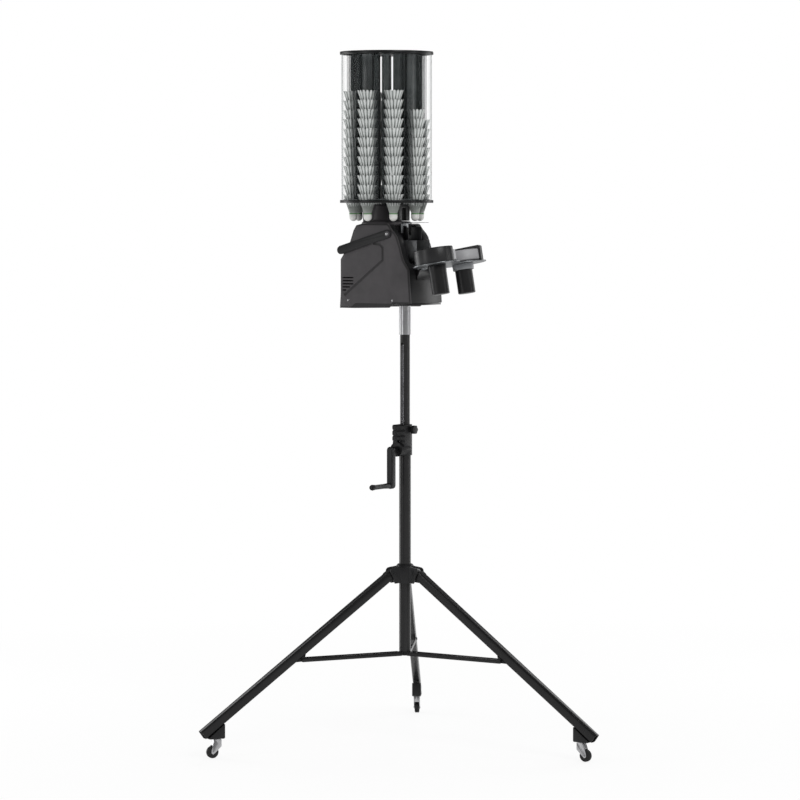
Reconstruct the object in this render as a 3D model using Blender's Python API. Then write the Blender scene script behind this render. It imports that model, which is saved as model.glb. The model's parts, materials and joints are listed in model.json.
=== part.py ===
"""A badminton serving machine on a wind-up tripod.

+X is the way the shuttles leave, +Y is the machine's left and +Z is up. The pole's axis is the working
origin while the pieces are made, and the last lines centre the whole machine over the world's origin.
"""

import math

import bmesh
import bpy
from mathutils import Matrix, Vector

# Clearances
GAP = 0.0003
RUN = 0.0006

# Base column
POLE_R = 0.0185
POLE_WALL = 0.0014
POLE_BOTTOM = 0.294
HOUSING_BOTTOM = 0.915
HOUSING_TOP = 1.012

# Tripod: the hub, the legs and the struts
HUB_BOTTOM = 0.511
HUB_TOP = 0.571
HUB_R = 0.031
LEG_PIVOT_R = 0.045
LEG_PIVOT_Z = 0.543
LEG_ANGLE = math.radians(54.2)
LEG_LENGTH = 0.803
LEG_W = 0.025
LEG_H = 0.030
LEG_WALL = 0.002
LEG_PLUG = 0.008
LEG_PIN_R = 0.004
CHEEK_T = 0.004
CHEEK_REACH = 0.015
STRUT_PIVOT_R = 0.020
STRUT_PIVOT_Z = 0.287
STRUT_DROP = 0.022
STRAP_T = 0.003
STRAP_H = 0.012
STRAP_CLEAR = 0.0005
SPACER_R = 0.0035
LEG_ANGLES = {"front": 0.0, "left": 120.0, "right": 240.0}

# Feet
LEG_END_H = 0.07328
FOOT_BLOCK_L = 0.057
FOOT_BLOCK_H = 0.030
CASTER_TRAIL = 0.015
CASTER_WHEEL_R = 0.019
CASTER_WHEEL_W = 0.015
CASTER_STEM_R = 0.005
CASTER_AXLE_R = 0.0032
FOOT_BLOCK_TOP = 0.090

# Mast and winder
MAST_R = 0.0155
MAST_WALL = 0.0065
MAST_BOTTOM = 0.590
SLEEVE_R = 0.0183
SLEEVE_BOTTOM = 1.295
SLEEVE_TOP = 1.388
RACK_W = 0.010
RACK_BOTTOM = 0.676
RACK_TOP = 1.263
RACK_DEPTH = 0.0055
RACK_LINE = 0.014
GEAR_MODULE = 0.002
GEAR_TEETH = 10
GEAR_W = 0.010
GEAR_RISE = 0.016
GEAR_TIP = 0.0016
GEAR_ROOT = 0.0018
RACK_TIP = 0.0012
RACK_ROOT = 0.0021
BACKLASH = 0.00035
PRESSURE_ANGLE = math.radians(20.0)
GEAR_SHAFT_R = 0.003
GEAR_SHAFT_X = 0.016
WORM_R = 0.004
SCREW_R = 0.004
HOUSING_R = 0.0225
HOUSING_FRONT = 0.0385
HOUSING_STEP = 0.945
POLE_TOP = 0.960
RIB_PITCH = 0.0174
RIB_NOTCH = 0.004
POCKET_DEPTH = 0.0018
CRANK_Z = 0.935
BOSS_R = 0.0225
BOSS_FRONT = 0.050
CRANK_ARM_L = 0.111
CRANK_ARM_W = 0.022
CRANK_ARM_BACK = 0.067
CRANK_ARM_T = 0.0225
GRIP_L = 0.100
GRIP_R = 0.009
GRIP_PIN_R = 0.003
KNOB_R = 0.0145
KNOB_Z = 0.996
KNOB_X = 0.027
KNOB_T = 0.014

# Head
# The outline, (X, Z), runs clockwise from the rear foot; sheets and panels follow it.
SILHOUETTE = [
    (-0.187, 1.378),
    (-0.184, 1.426),
    (-0.184, 1.531),
    (-0.151, 1.578),
    (-0.135, 1.622),
    (-0.1245, 1.638),
    (-0.104, 1.643),
    (-0.008, 1.643),
    (-0.002, 1.640),
    (0.010, 1.624),
    (0.022, 1.612),
    (0.029, 1.602),
    (0.0405, 1.570),
    (0.052, 1.530),
    (0.073, 1.500),
    (0.0806, 1.395),
    (0.019, 1.395),
    (-0.001, 1.381),
    (-0.132, 1.378),
]
INSIDE_Y = 0.0852
REAR_X = -0.184
PANEL_T = 0.006
PANEL_CHAMFER = 0.005
SHELL_T = 0.003
PLATE_T = 0.006
PLATE_Z = 1.3885
PLATE_BACK = -0.1827
PLATE_FRONT = 0.0795
SPINDLE_R = 0.012
SPINDLE_L = 0.034
RAIL_IN = 0.058
LINER_T = 0.002
LINER_BACK = -0.012
WINDOW_SILL = 1.518
GROOVE_W = 0.008
GROOVE_DEPTH = 0.0012
GROOVE_PATH = [(-0.058, 1.581), (-0.034, 1.5785), (-0.0236, 1.568), (-0.0236, 1.529), (-0.1687, 1.418)]
VENTS = [(-0.1746, -0.1357), (-0.1746, -0.1357), (-0.1746, -0.1357), (-0.1746, -0.148), (-0.1746, -0.162)]
VENT_TOP = 1.4736
VENT_PITCH = 0.0098
VENT_H = 0.004
HANDLE_BOLT_X = -0.003
HANDLE_BOLT_Z = 1.612
HANDLE_DROP = math.radians(16.4)
HANDLE_L = 0.184
HANDLE_W = 0.027
HANDLE_T = 0.005
HANDLE_BAR_R = 0.0125
BOLT_R = 0.004
BOLT_HEAD_R = 0.0085
PEDESTAL_R = 0.079
SWITCH_Z = 1.440
SWITCH_IN = 0.0065
SWITCH_PIN_R = 0.0012
BRACKET_H = 0.030
BRACKET_T = 0.003
EAR_T = 0.006

# Claw and the shuttle's way down
BOSS_H = 0.0415
CHANNEL_BASE_R = 0.136
CLAW_LOW = 1.606
CLAW_DROP = 0.030
GUIDE_W = 0.074
GUIDE_BACK = -0.0215
GUIDE_TOP = 1.704
GUIDE_GROOVE = 0.007
CHUTE_SLOT = 1.606
CLAW_X = -0.0035
CLAW_RAIL_IN = 0.011
CLAW_RAIL_LOW = 1.545
CLAW_Z = 1.676
CLAW_W = 0.040
CLAW_T = 0.003
JAW_T = 0.0015
JAW_PIVOT_X = 0.002
JAW_PIVOT_Y = 0.014
JAW_PIN_R = 0.0015
NECK_R = 0.0142
JAW_REACH = 0.0745
CHUTE_R = 0.036
CHUTE_T = 0.002
CHUTE_LOW = 1.5925
CHUTE_TOP = 1.632
CHUTE_EDGE = 0.0015
WING_X = 0.010
WING_TOP = 1.614
TROUGH_T = 0.0015
TROUGH_TOP = 1.591
TROUGH_BACK = 0.004
TROUGH_FRONT = 0.068

# Magazine
MAG_X = -0.069
MAG_PITCH_R = 0.1070
MAG_DISC_R = 0.147
MAG_DISC_T = 0.009
MAG_BASE_Z = 1.708
MAG_TOP_Z = 2.182
MAG_GLASS_R = 0.142
MAG_GLASS_T = 0.0015
CHANNEL_R = 0.0348
CHANNEL_T = 0.0018
CHANNEL_OPEN = math.radians(67.0)
CHANNEL_SLIT = 0.012
CHANNEL_BASE_T = 0.002
LOAD_HOLE_R = 0.0345
COLUMN_R = 0.041
COLUMN_TOP_R = 0.033
COLUMN_Z = 1.6995
STACKS = (10, 9, 12, 12, 12, 12, 12, 12)
STACK_STEPS = 12

# Shuttles
CORK_R = 0.0128
CORK_H = 0.025
SHUTTLE_H = 0.085
RIM_R = 0.033
NEST_PITCH = 0.0294
CORK_Z = 1.651
FEATHER_T = 0.002

# Launcher
TILT_X = 0.082
TILT_Z = 1.503
TILT = math.radians(10.0)
TILT_PIN_R = 0.004
TILT_EAR_Y = 0.046
WHEEL_U = 0.0865
WHEEL_V = 0.0745
WHEEL_R = 0.0635
WHEEL_W = 0.034
WHEEL_LOW = 0.0045
DECK_T = 0.003
DECK_TOP = 0.001
DECK_R = 0.0742
GUARD_R = 0.067
GUARD_T = 0.0022
GUARD_TOP = 0.049
GUARD_ROOF = 0.009
MOTOR_R = 0.0275
MOTOR_BOTTOM = -0.094
SHAFT_R = 0.004

for old in list(bpy.data.objects):
    bpy.data.objects.remove(old, do_unlink=True)


def material(name, colour, roughness, metallic=0.0, alpha=1.0):
    made = bpy.data.materials.new(name)
    made.use_nodes = True
    shader = made.node_tree.nodes["Principled BSDF"]
    shader.inputs["Base Color"].default_value = (*colour, 1.0)
    shader.inputs["Roughness"].default_value = roughness
    shader.inputs["Metallic"].default_value = metallic
    shader.inputs["Alpha"].default_value = alpha
    made.diffuse_color = (*colour, alpha)
    return made


BLACK_PAINT = material("black_paint", (0.022, 0.021, 0.022), 0.35)
BLACK_PLASTIC = material("black_plastic", (0.018, 0.018, 0.018), 0.5)
GREY_SHELL = material("grey_shell", (0.062, 0.058, 0.062), 0.55)
GUARD_GREY = material("guard_grey", (0.045, 0.045, 0.047), 0.45)
STEEL = material("steel", (0.55, 0.55, 0.55), 0.3, 1.0)
SHEET_METAL = material("sheet_metal", (0.32, 0.33, 0.34), 0.4, 1.0)
WHEEL_GREY = material("wheel_grey", (0.42, 0.42, 0.43), 0.4)
CLEAR = material("clear_plastic", (0.9, 0.92, 0.92), 0.05, 0.0, 0.2)
CHANNEL_GREY = material("channel_grey", (0.07, 0.085, 0.085), 0.4)
FEATHER = material("feather", (0.6, 0.62, 0.61), 0.8)
RUBBER = material("rubber", (0.02, 0.02, 0.02), 0.7)


def arc(cx, cy, radius, start, end, steps):
    """Points along a round stretch, angles in radians, both ends included."""
    return [
        (
            cx + radius * math.cos(start + (end - start) * i / steps),
            cy + radius * math.sin(start + (end - start) * i / steps),
        )
        for i in range(steps + 1)
    ]


def rounded_rectangle(width, height, radius, steps=3):
    """An outline centred on the origin, anticlockwise."""
    a = width / 2 - radius
    b = height / 2 - radius
    quarter = math.pi / 2
    points = []
    for n, (cx, cy) in enumerate(((a, b), (-a, b), (-a, -b), (a, -b))):
        points += arc(cx, cy, radius, n * quarter, (n + 1) * quarter, steps)
    return points


def slot_outline(x0, y0, x1, y1, radius, steps=6):
    """A bar with round ends from one point to another."""
    along = math.atan2(y1 - y0, x1 - x0)
    quarter = math.pi / 2
    return arc(x0, y0, radius, along + quarter, along + 3 * quarter, steps) + arc(
        x1, y1, radius, along - quarter, along + quarter, steps
    )


PLANES = {
    "XY": Matrix.Identity(3),
    "XZ": Matrix(((1, 0, 0), (0, 0, 1), (0, 1, 0))),
    "YZ": Matrix(((0, 0, 1), (1, 0, 0), (0, 1, 0))),
}


def new_mesh(name):
    return bpy.data.meshes.new(name), bmesh.new()


def finish(name, mesh, bm, skin, parent, smooth=True, sharp=35.0):
    """Turns a bmesh into a named object under its parent, with its faces pointing out."""
    bmesh.ops.recalc_face_normals(bm, faces=bm.faces)
    bm.to_mesh(mesh)
    bm.free()
    if smooth:
        mesh.shade_smooth()
        mesh.set_sharp_from_angle(angle=math.radians(sharp))
    made = bpy.data.objects.new(name, mesh)
    bpy.context.scene.collection.objects.link(made)
    made.parent = parent
    if skin is not None:
        mesh.materials.append(skin)
    return made


def prism(name, outline, low, high, plane, skin, parent, smooth=True):
    """An outline in a plane, extruded from low to high along the plane's normal."""
    mesh, bm = new_mesh(name)
    turn = PLANES[plane]
    ring = [bm.verts.new(turn @ Vector((x, y, low))) for x, y in outline]
    face = bm.faces.new(ring)
    grown = bmesh.ops.extrude_face_region(bm, geom=[face])
    tops = [v for v in grown["geom"] if isinstance(v, bmesh.types.BMVert)]
    bmesh.ops.translate(bm, verts=tops, vec=turn @ Vector((0, 0, high - low)))
    return finish(name, mesh, bm, skin, parent, smooth)


def turned(name, profile, steps, skin, parent, axis="Z", at=(0, 0, 0), sharp=35.0):
    """A profile of (radius, height) points turned round an axis. Off the axis it is a closed ring."""
    mesh, bm = new_mesh(name)
    line = [bm.verts.new((r, 0, z)) for r, z in profile]
    edges = [bm.edges.new(pair) for pair in zip(line, line[1:])]
    if profile[0][0] > 0:
        edges.append(bm.edges.new((line[-1], line[0])))
    bmesh.ops.spin(
        bm,
        geom=line + edges,
        cent=(0, 0, 0),
        axis=(0, 0, 1),
        angle=2 * math.pi,
        steps=steps,
        use_merge=True,
    )
    bmesh.ops.remove_doubles(bm, verts=bm.verts, dist=1e-6)
    bm.normal_update()
    flat = []
    for v in bm.verts:
        if v.co.xy.length < 1e-6 and abs(v.link_faces[0].normal.z) > 0.99999:
            flat.append(v)
    bmesh.ops.dissolve_verts(bm, verts=flat)
    facing = {"Z": (0, 0, 1), "Y": (0, 1, 0), "X": (1, 0, 0), "-Y": (0, -1, 0), "-Z": (0, 0, -1)}[axis]
    turn = Vector((0, 0, 1)).rotation_difference(Vector(facing)).to_matrix().to_4x4()
    bmesh.ops.transform(bm, matrix=Matrix.Translation(at) @ turn, verts=bm.verts)
    return finish(name, mesh, bm, skin, parent, True, sharp)


def rod(name, radius, low, high, steps, skin, parent, axis="Z", at=(0, 0, 0)):
    profile = [(0, low), (radius, low), (radius, high), (0, high)]
    return turned(name, profile, steps, skin, parent, axis, at)


def tube(name, outer, inner, low, high, steps, skin, parent, axis="Z", at=(0, 0, 0)):
    profile = [(inner, low), (outer, low), (outer, high), (inner, high)]
    return turned(name, profile, steps, skin, parent, axis, at)


def block(name, low, high, skin, parent):
    outline = [(low[0], low[1]), (high[0], low[1]), (high[0], high[1]), (low[0], high[1])]
    return prism(name, outline, low[2], high[2], "XY", skin, parent, smooth=False)


def helper(made):
    """Hides a solid that only cuts or joins."""
    made.hide_render = True
    made.display_type = "WIRE"
    return made


def combine(target, other, operation):
    change = target.modifiers.new(other.name, "BOOLEAN")
    change.operation = operation
    change.solver = "EXACT"
    change.object = helper(other)
    return target


def cut(target, *others):
    for other in others:
        combine(target, other, "DIFFERENCE")
    return target


def join(target, *others):
    for other in others:
        combine(target, other, "UNION")
    return target


def soften(target, width, segments=1, angle=40.0):
    change = target.modifiers.new("rounded_edges", "BEVEL")
    change.width = width
    change.segments = segments
    change.limit_method = "ANGLE"
    change.angle_limit = math.radians(angle)
    change.use_clamp_overlap = True
    return target


def pivot(name, parent, location=(0, 0, 0), rotation=(0, 0, 0)):
    made = bpy.data.objects.new(name, None)
    made.empty_display_size = 0.03
    made.location = location
    made.rotation_euler = rotation
    made.parent = parent
    bpy.context.scene.collection.objects.link(made)
    return made


STAND = pivot("stand_axis", None)


def base_column():
    pole = tube("lower_pole", POLE_R, POLE_R - POLE_WALL, POLE_BOTTOM, POLE_TOP, 20, BLACK_PAINT, STAND)
    gear_window = block(
        "pole_window", (-0.008, -0.03, CRANK_Z - 0.009), (0.008, 0, POLE_TOP + 0.01), None, STAND
    )
    cut(pole, gear_window)
    plug_in = POLE_R - POLE_WALL - GAP
    plug_base = STRUT_PIVOT_Z - STRAP_H / 2
    profile = [
        (0, plug_base),
        (POLE_R - 0.002, plug_base),
        (POLE_R, plug_base + 0.002),
        (POLE_R, POLE_BOTTOM - GAP),
        (plug_in, POLE_BOTTOM - GAP),
        (plug_in, POLE_BOTTOM + 0.020),
        (0, POLE_BOTTOM + 0.020),
    ]
    plug = turned("pole_plug", profile, 20, BLACK_PLASTIC, STAND)
    half = LEG_W / 2
    for name, angle in LEG_ANGLES.items():
        facing = pivot(f"plug_{name}_facing", STAND, rotation=(0, 0, math.radians(angle)))
        outline = slot_outline(0.008, STRUT_PIVOT_Z, STRUT_PIVOT_R, STRUT_PIVOT_Z, STRAP_H / 2 - 0.0005)
        tongue = prism(f"plug_tongue_{name}", outline, -half, half, "XZ", None, facing)
        join(plug, tongue)


def leg_hub():
    """The collar on the pole: a drum with three pairs of cheeks, and the pins across them."""
    hub = pivot("hub_slide", STAND)
    steps = 20
    drum = [
        (POLE_R + RUN, HUB_BOTTOM),
        (HUB_R, HUB_BOTTOM),
        (HUB_R, HUB_TOP - 0.010),
        (HUB_R - 0.008, HUB_TOP),
        (POLE_R + RUN, HUB_TOP),
    ]
    collar = turned("leg_hub", drum, steps, BLACK_PLASTIC, hub)
    inner = LEG_W / 2 + 0.0006
    outer = inner + CHEEK_T
    bore = rod("hub_bore", POLE_R + RUN, HUB_BOTTOM - 0.01, HUB_TOP + 0.01, steps, None, hub)
    for name, angle in LEG_ANGLES.items():
        facing = pivot(f"hub_{name}_facing", hub, rotation=(0, 0, math.radians(angle)))
        reach = LEG_PIVOT_R + CHEEK_REACH
        cheek = [
            (POLE_R - 0.002, HUB_BOTTOM + 0.002),
            (LEG_PIVOT_R - 0.002, HUB_BOTTOM),
            *arc(reach - 0.012, HUB_TOP - 0.022, 0.012, math.radians(-60), math.radians(90), 5),
            (POLE_R - 0.002, HUB_TOP - 0.006),
        ]
        join(collar, prism(f"hub_cheeks_{name}", cheek, -outer, outer, "XZ", None, facing))
    for name, angle in LEG_ANGLES.items():
        facing = bpy.data.objects[f"hub_{name}_facing"]
        notch = [
            (POLE_R + 0.0075, HUB_BOTTOM - 0.01),
            (LEG_PIVOT_R + 0.06, HUB_BOTTOM - 0.01),
            (LEG_PIVOT_R + 0.06, HUB_TOP + 0.01),
            (POLE_R + 0.0075, HUB_TOP + 0.01),
        ]
        cut(collar, prism(f"hub_slot_{name}", notch, -inner, inner, "XZ", None, facing))
    cut(collar, bore)
    for name in LEG_ANGLES:
        facing = bpy.data.objects[f"hub_{name}_facing"]
        pin_at = (LEG_PIVOT_R, 0, LEG_PIVOT_Z)
        pin_half = outer + 0.0015
        join(collar, rod(f"hub_pin_{name}", LEG_PIN_R, -pin_half, pin_half, 10, None, facing, "Y", pin_at))
    return hub


def leg(hub, name, angle):
    """A leg in its own frame: X runs along the tube from the pin, and Z is square to it, upward at rest."""
    facing = pivot(f"leg_{name}_facing", hub, rotation=(0, 0, math.radians(angle)))
    swing = pivot(
        f"leg_{name}_axis", facing, (LEG_PIVOT_R, 0, LEG_PIVOT_Z), (0, math.pi / 2 - LEG_ANGLE, 0)
    )
    half_h = LEG_H / 2
    half_w = LEG_W / 2
    joint_x = strut_joint_along()
    outline = rounded_rectangle(LEG_W, LEG_H, 0.005, 2)
    shell = prism(f"leg_tube_{name}", outline, 0.010, LEG_LENGTH, "YZ", BLACK_PAINT, swing)
    tip = slot_outline(0, 0, 0.020, 0, half_h, 5)
    join(shell, prism(f"leg_end_{name}", tip, -half_w, half_w, "XZ", None, swing))
    hollow = rounded_rectangle(LEG_W - 2 * LEG_WALL, LEG_H - 2 * LEG_WALL, 0.003, 2)
    cut(
        shell,
        prism(f"leg_hollow_{name}", hollow, LEG_LENGTH - LEG_PLUG, LEG_LENGTH + 0.01, "YZ", None, swing),
    )
    cut(shell, rod(f"leg_bore_{name}", LEG_PIN_R + RUN, -0.02, 0.02, 10, None, swing, "Y"))
    lug = [
        (joint_x - 0.020, -half_h + 0.001),
        (joint_x - 0.007, -STRUT_DROP - 0.003),
        *arc(joint_x, -STRUT_DROP, 0.0055, math.radians(200), math.radians(340), 3),
        (joint_x + 0.020, -half_h + 0.001),
    ]
    join(shell, prism(f"leg_lug_{name}", lug, -half_w + 0.0003, half_w - 0.0003, "XZ", None, swing))
    turned_back = math.pi / 2 - LEG_ANGLE
    origin = Matrix.Rotation(-turned_back, 3, "Y") @ Vector((-LEG_PIVOT_R, 0, -LEG_PIVOT_Z))
    return pivot(f"foot_{name}_level", swing, origin, (0, -turned_back, 0))


def strut_joint_along():
    """How far along the leg the strut's rivet sits, so that the struts lie level at rest."""
    drop = LEG_PIVOT_Z - STRUT_PIVOT_Z - STRUT_DROP * math.sin(LEG_ANGLE)
    return drop / math.cos(LEG_ANGLE)


def strut_length():
    along = strut_joint_along()
    reach = LEG_PIVOT_R + along * math.sin(LEG_ANGLE) - STRUT_DROP * math.cos(LEG_ANGLE)
    return reach - STRUT_PIVOT_R


def strut(name, angle):
    facing = pivot(f"strut_{name}_facing", STAND, rotation=(0, 0, math.radians(angle)))
    swing = pivot(f"strut_{name}_axis", facing, (STRUT_PIVOT_R, 0, STRUT_PIVOT_Z))
    length = strut_length()
    inner = LEG_W / 2 + STRAP_CLEAR
    outer = inner + STRAP_T
    outline = slot_outline(0, 0, length, 0, STRAP_H / 2, 5)
    made = prism(f"strut_{name}", outline, inner, outer, "XZ", BLACK_PAINT, swing)
    join(made, prism(f"strap_far_{name}", outline, -outer, -inner, "XZ", None, swing))
    for n, share in enumerate((0.055, 0.5)):
        spot = (length * share, 0, 0)
        join(made, rod(f"strut_spacer_{name}_{n}", SPACER_R, -outer, outer, 8, None, swing, "Y", spot))
    for n, spot in enumerate((0.0, length)):
        for side in (-1, 1):
            ends = sorted((side * (outer - 0.001), side * (outer + 0.002)))
            head = rod(f"rivet_{name}_{n}_{side}", 0.0045, *ends, 8, None, swing, "Y", (spot, 0, 0))
            join(made, head)
    return swing


def foot(name, facing):
    """The block under the leg's end, with the caster's fork and wheel on it."""
    end_r = LEG_PIVOT_R + LEG_LENGTH * math.sin(LEG_ANGLE)
    floor = LEG_PIVOT_Z - LEG_LENGTH * math.cos(LEG_ANGLE) - LEG_END_H
    facing = pivot(f"foot_{name}_floor", facing, (0, 0, floor))
    stem_r = end_r - FOOT_BLOCK_L + 0.009
    top = FOOT_BLOCK_TOP
    low = top - FOOT_BLOCK_H
    half = LEG_W / 2 - 0.001
    slope = math.tan(math.pi / 2 - LEG_ANGLE)

    def under_leg(r):
        centre = LEG_PIVOT_Z - floor - (r - LEG_PIVOT_R) * slope
        return centre - (LEG_H / 2 + GAP) / math.sin(LEG_ANGLE)

    left = stem_r - 0.022
    right = stem_r + 0.032
    outline = [
        (left, low + 0.003),
        (left + 0.003, low),
        (right - 0.003, low),
        (right, low + 0.003),
        (right, under_leg(right)),
        (left, under_leg(left)),
    ]
    if under_leg(right) < low + 0.006:
        outline[3:5] = [(right, low + 0.003)]
    made = prism(f"foot_block_{name}", outline, -half - 0.003, half + 0.003, "XZ", BLACK_PLASTIC, facing)
    socket_low = low - 0.01
    cut(
        made,
        rod(
            f"foot_bore_{name}",
            CASTER_STEM_R + RUN,
            socket_low,
            low + 0.018,
            10,
            None,
            facing,
            "Z",
            (stem_r, 0, 0),
        ),
    )
    turn = pivot(f"caster_{name}_axis", facing, (stem_r, 0, 0))
    axle = (CASTER_TRAIL, 0, CASTER_WHEEL_R)
    roll = pivot(f"caster_wheel_{name}_axis", turn, axle)
    steps = 16
    half_w = CASTER_WHEEL_W / 2
    edge = 0.0025
    groove = 0.0015
    tyre = [
        (CASTER_AXLE_R + RUN, -half_w),
        (CASTER_WHEEL_R - edge, -half_w),
        (CASTER_WHEEL_R, -half_w + edge),
        (CASTER_WHEEL_R, -groove),
        (CASTER_WHEEL_R - groove, 0),
        (CASTER_WHEEL_R, groove),
        (CASTER_WHEEL_R, half_w - edge),
        (CASTER_WHEEL_R - edge, half_w),
        (CASTER_AXLE_R + RUN, half_w),
    ]
    turned(f"caster_wheel_{name}", tyre, steps, RUBBER, roll, "Y")
    cheek_in = half_w + 0.0006
    cheek_out = cheek_in + 0.0016
    crown = CASTER_WHEEL_R * 2 + 0.0015
    fork_top = low - 0.0025
    cheek = [
        (CASTER_TRAIL + 0.006, CASTER_WHEEL_R - 0.004),
        (CASTER_TRAIL + 0.007, CASTER_WHEEL_R + 0.003),
        (0.012, fork_top),
        (-0.012, fork_top),
        (-0.012, crown - 0.003),
        (CASTER_TRAIL - 0.007, CASTER_WHEEL_R - 0.001),
        (CASTER_TRAIL, CASTER_WHEEL_R - 0.007),
    ]
    fork = prism(f"caster_fork_{name}", cheek, -cheek_out, cheek_out, "XZ", STEEL, turn)
    room = [(-0.03, 0.0), (0.06, 0.0), (0.06, crown), (-0.03, crown)]
    cut(fork, prism(f"fork_room_{name}", room, -cheek_in, cheek_in, "XZ", None, turn))
    join(
        fork,
        rod(
            f"fork_axle_{name}",
            CASTER_AXLE_R,
            -cheek_out - 0.002,
            cheek_out + 0.002,
            8,
            None,
            turn,
            "Y",
            axle,
        ),
    )
    stem = [
        (0, fork_top - 0.002),
        (0.012, fork_top - 0.002),
        (0.012, low - GAP),
        (CASTER_STEM_R, low - GAP),
        (CASTER_STEM_R, low + 0.016),
        (0, low + 0.016),
    ]
    join(fork, turned(f"fork_stem_{name}", stem, 10, None, turn))


def tripod():
    hub = leg_hub()
    for name, angle in LEG_ANGLES.items():
        strut(name, angle)
        foot(name, leg(hub, name, angle))

def polar(radius, angle):
    return radius * math.cos(angle), radius * math.sin(angle)


def gear_outline():
    """An involute gear with one tooth pointing along the first axis, its teeth thinned by the backlash."""
    pitch_r = GEAR_MODULE * GEAR_TEETH / 2
    base_r = pitch_r * math.cos(PRESSURE_ANGLE)
    tip_r = pitch_r + GEAR_TIP
    half = (math.pi * GEAR_MODULE / 2 - BACKLASH) / (2 * pitch_r)
    at_pitch = math.tan(PRESSURE_ANGLE) - PRESSURE_ANGLE
    flank = []
    for i in range(3):
        r = base_r + (tip_r - base_r) * i / 2
        roll = math.acos(base_r / r)
        flank.append((r, half + at_pitch - (math.tan(roll) - roll)))
    flank.insert(0, (pitch_r - GEAR_ROOT, flank[0][1]))
    points = []
    for n in range(GEAR_TEETH):
        centre = 2 * math.pi * n / GEAR_TEETH
        points += [polar(r, centre - spread) for r, spread in flank]
        points += [polar(r, centre + spread) for r, spread in reversed(flank)]
    return points


def rack_outline(gear_z):
    """The rack's side view, (Y, Z): its teeth face -Y, and a gap is centred on the gear."""
    pitch = math.pi * GEAR_MODULE
    back = -(MAST_R - RACK_DEPTH) - GAP
    tip = -(RACK_LINE + RACK_TIP)
    root = -(RACK_LINE - RACK_ROOT)
    half = (pitch / 2 - BACKLASH) / 2
    at_tip = half - RACK_TIP * math.tan(PRESSURE_ANGLE)
    at_root = half + RACK_ROOT * math.tan(PRESSURE_ANGLE)
    points = [(back, RACK_TOP), (back, RACK_BOTTOM), (root, RACK_BOTTOM)]
    first = math.ceil((RACK_BOTTOM + at_root - gear_z) / pitch - 0.5)
    last = math.floor((RACK_TOP - at_root - gear_z) / pitch - 0.5)
    for n in range(first, last + 1):
        z = gear_z + (n + 0.5) * pitch
        points += [(root, z - at_root), (tip, z - at_tip), (tip, z + at_tip), (root, z + at_root)]
    return points + [(root, RACK_TOP)]


def crank_housing():
    """The winder's body: a drum round the pole, a ribbed block over the gear and the crank's boss."""
    shell = rod("crank_housing", HOUSING_R, HOUSING_BOTTOM, HOUSING_TOP, 20, BLACK_PLASTIC, STAND)
    outline = [(0, HOUSING_STEP), (-HOUSING_FRONT, HOUSING_STEP)]
    pockets = []
    for n in range(3):
        low = HOUSING_TOP - (3 - n) * RIB_PITCH
        high = low + RIB_PITCH
        outline += [(RIB_NOTCH - HOUSING_FRONT, low + 0.0005), (-HOUSING_FRONT, low + 0.004)]
        outline += [(-HOUSING_FRONT, high - 0.004), (RIB_NOTCH - HOUSING_FRONT, high - 0.0005)]
        middle = (low + high) / 2
        pockets.append(slot_outline(-0.006, middle, 0.006, middle, 0.0045, 4))
    outline += [(0, HOUSING_TOP - 0.0005)]
    ribbed = prism("crank_ribs", outline, -HOUSING_R, HOUSING_R, "YZ", None, STAND)
    boss = rod("crank_boss", BOSS_R, 0.002, BOSS_FRONT, 20, None, STAND, "-Y", (0, 0, CRANK_Z))
    knob_boss = rod("knob_boss", 0.009, 0.002, KNOB_X - 0.003, 12, None, STAND, "X", (0, 0, KNOB_Z))
    join(shell, ribbed, boss, knob_boss)
    gear_z = CRANK_Z + GEAR_RISE
    pitch_r = GEAR_MODULE * GEAR_TEETH / 2
    room = pitch_r + GEAR_TIP + RUN
    gear_y = -(RACK_LINE + pitch_r)
    cut(
        shell,
        rod("pole_seat", POLE_R + GAP, HOUSING_BOTTOM - 0.01, POLE_TOP + GAP, 20, None, STAND),
        rod("mast_bore", MAST_R + RUN, HOUSING_BOTTOM, HOUSING_TOP + 0.01, 20, None, STAND),
        block(
            "rack_relief",
            (-RACK_W / 2 - RUN, -0.0172, POLE_TOP - 0.01),
            (RACK_W / 2 + RUN, 0, HOUSING_TOP + 0.01),
            None,
            STAND,
        ),
        block(
            "gear_room",
            (-GEAR_W / 2 - RUN, gear_y - room, gear_z - room),
            (GEAR_W / 2 + RUN, -0.010, gear_z + room),
            None,
            STAND,
        ),
        rod(
            "gear_bore",
            GEAR_SHAFT_R + RUN,
            -GEAR_SHAFT_X - RUN,
            GEAR_SHAFT_X + RUN,
            10,
            None,
            STAND,
            "X",
            (0, gear_y, gear_z),
        ),
        rod("worm_bore", WORM_R + RUN, 0.010, BOSS_FRONT + 0.01, 12, None, STAND, "-Y", (0, 0, CRANK_Z)),
        rod("knob_bore", SCREW_R + RUN, 0.010, KNOB_X + 0.01, 10, None, STAND, "X", (0, 0, KNOB_Z)),
    )
    for n, pocket in enumerate(pockets):
        deep = HOUSING_FRONT - POCKET_DEPTH
        cut(shell, prism(f"rib_pocket_{n}", pocket, -HOUSING_FRONT - 0.01, -deep, "XZ", None, STAND))


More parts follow.
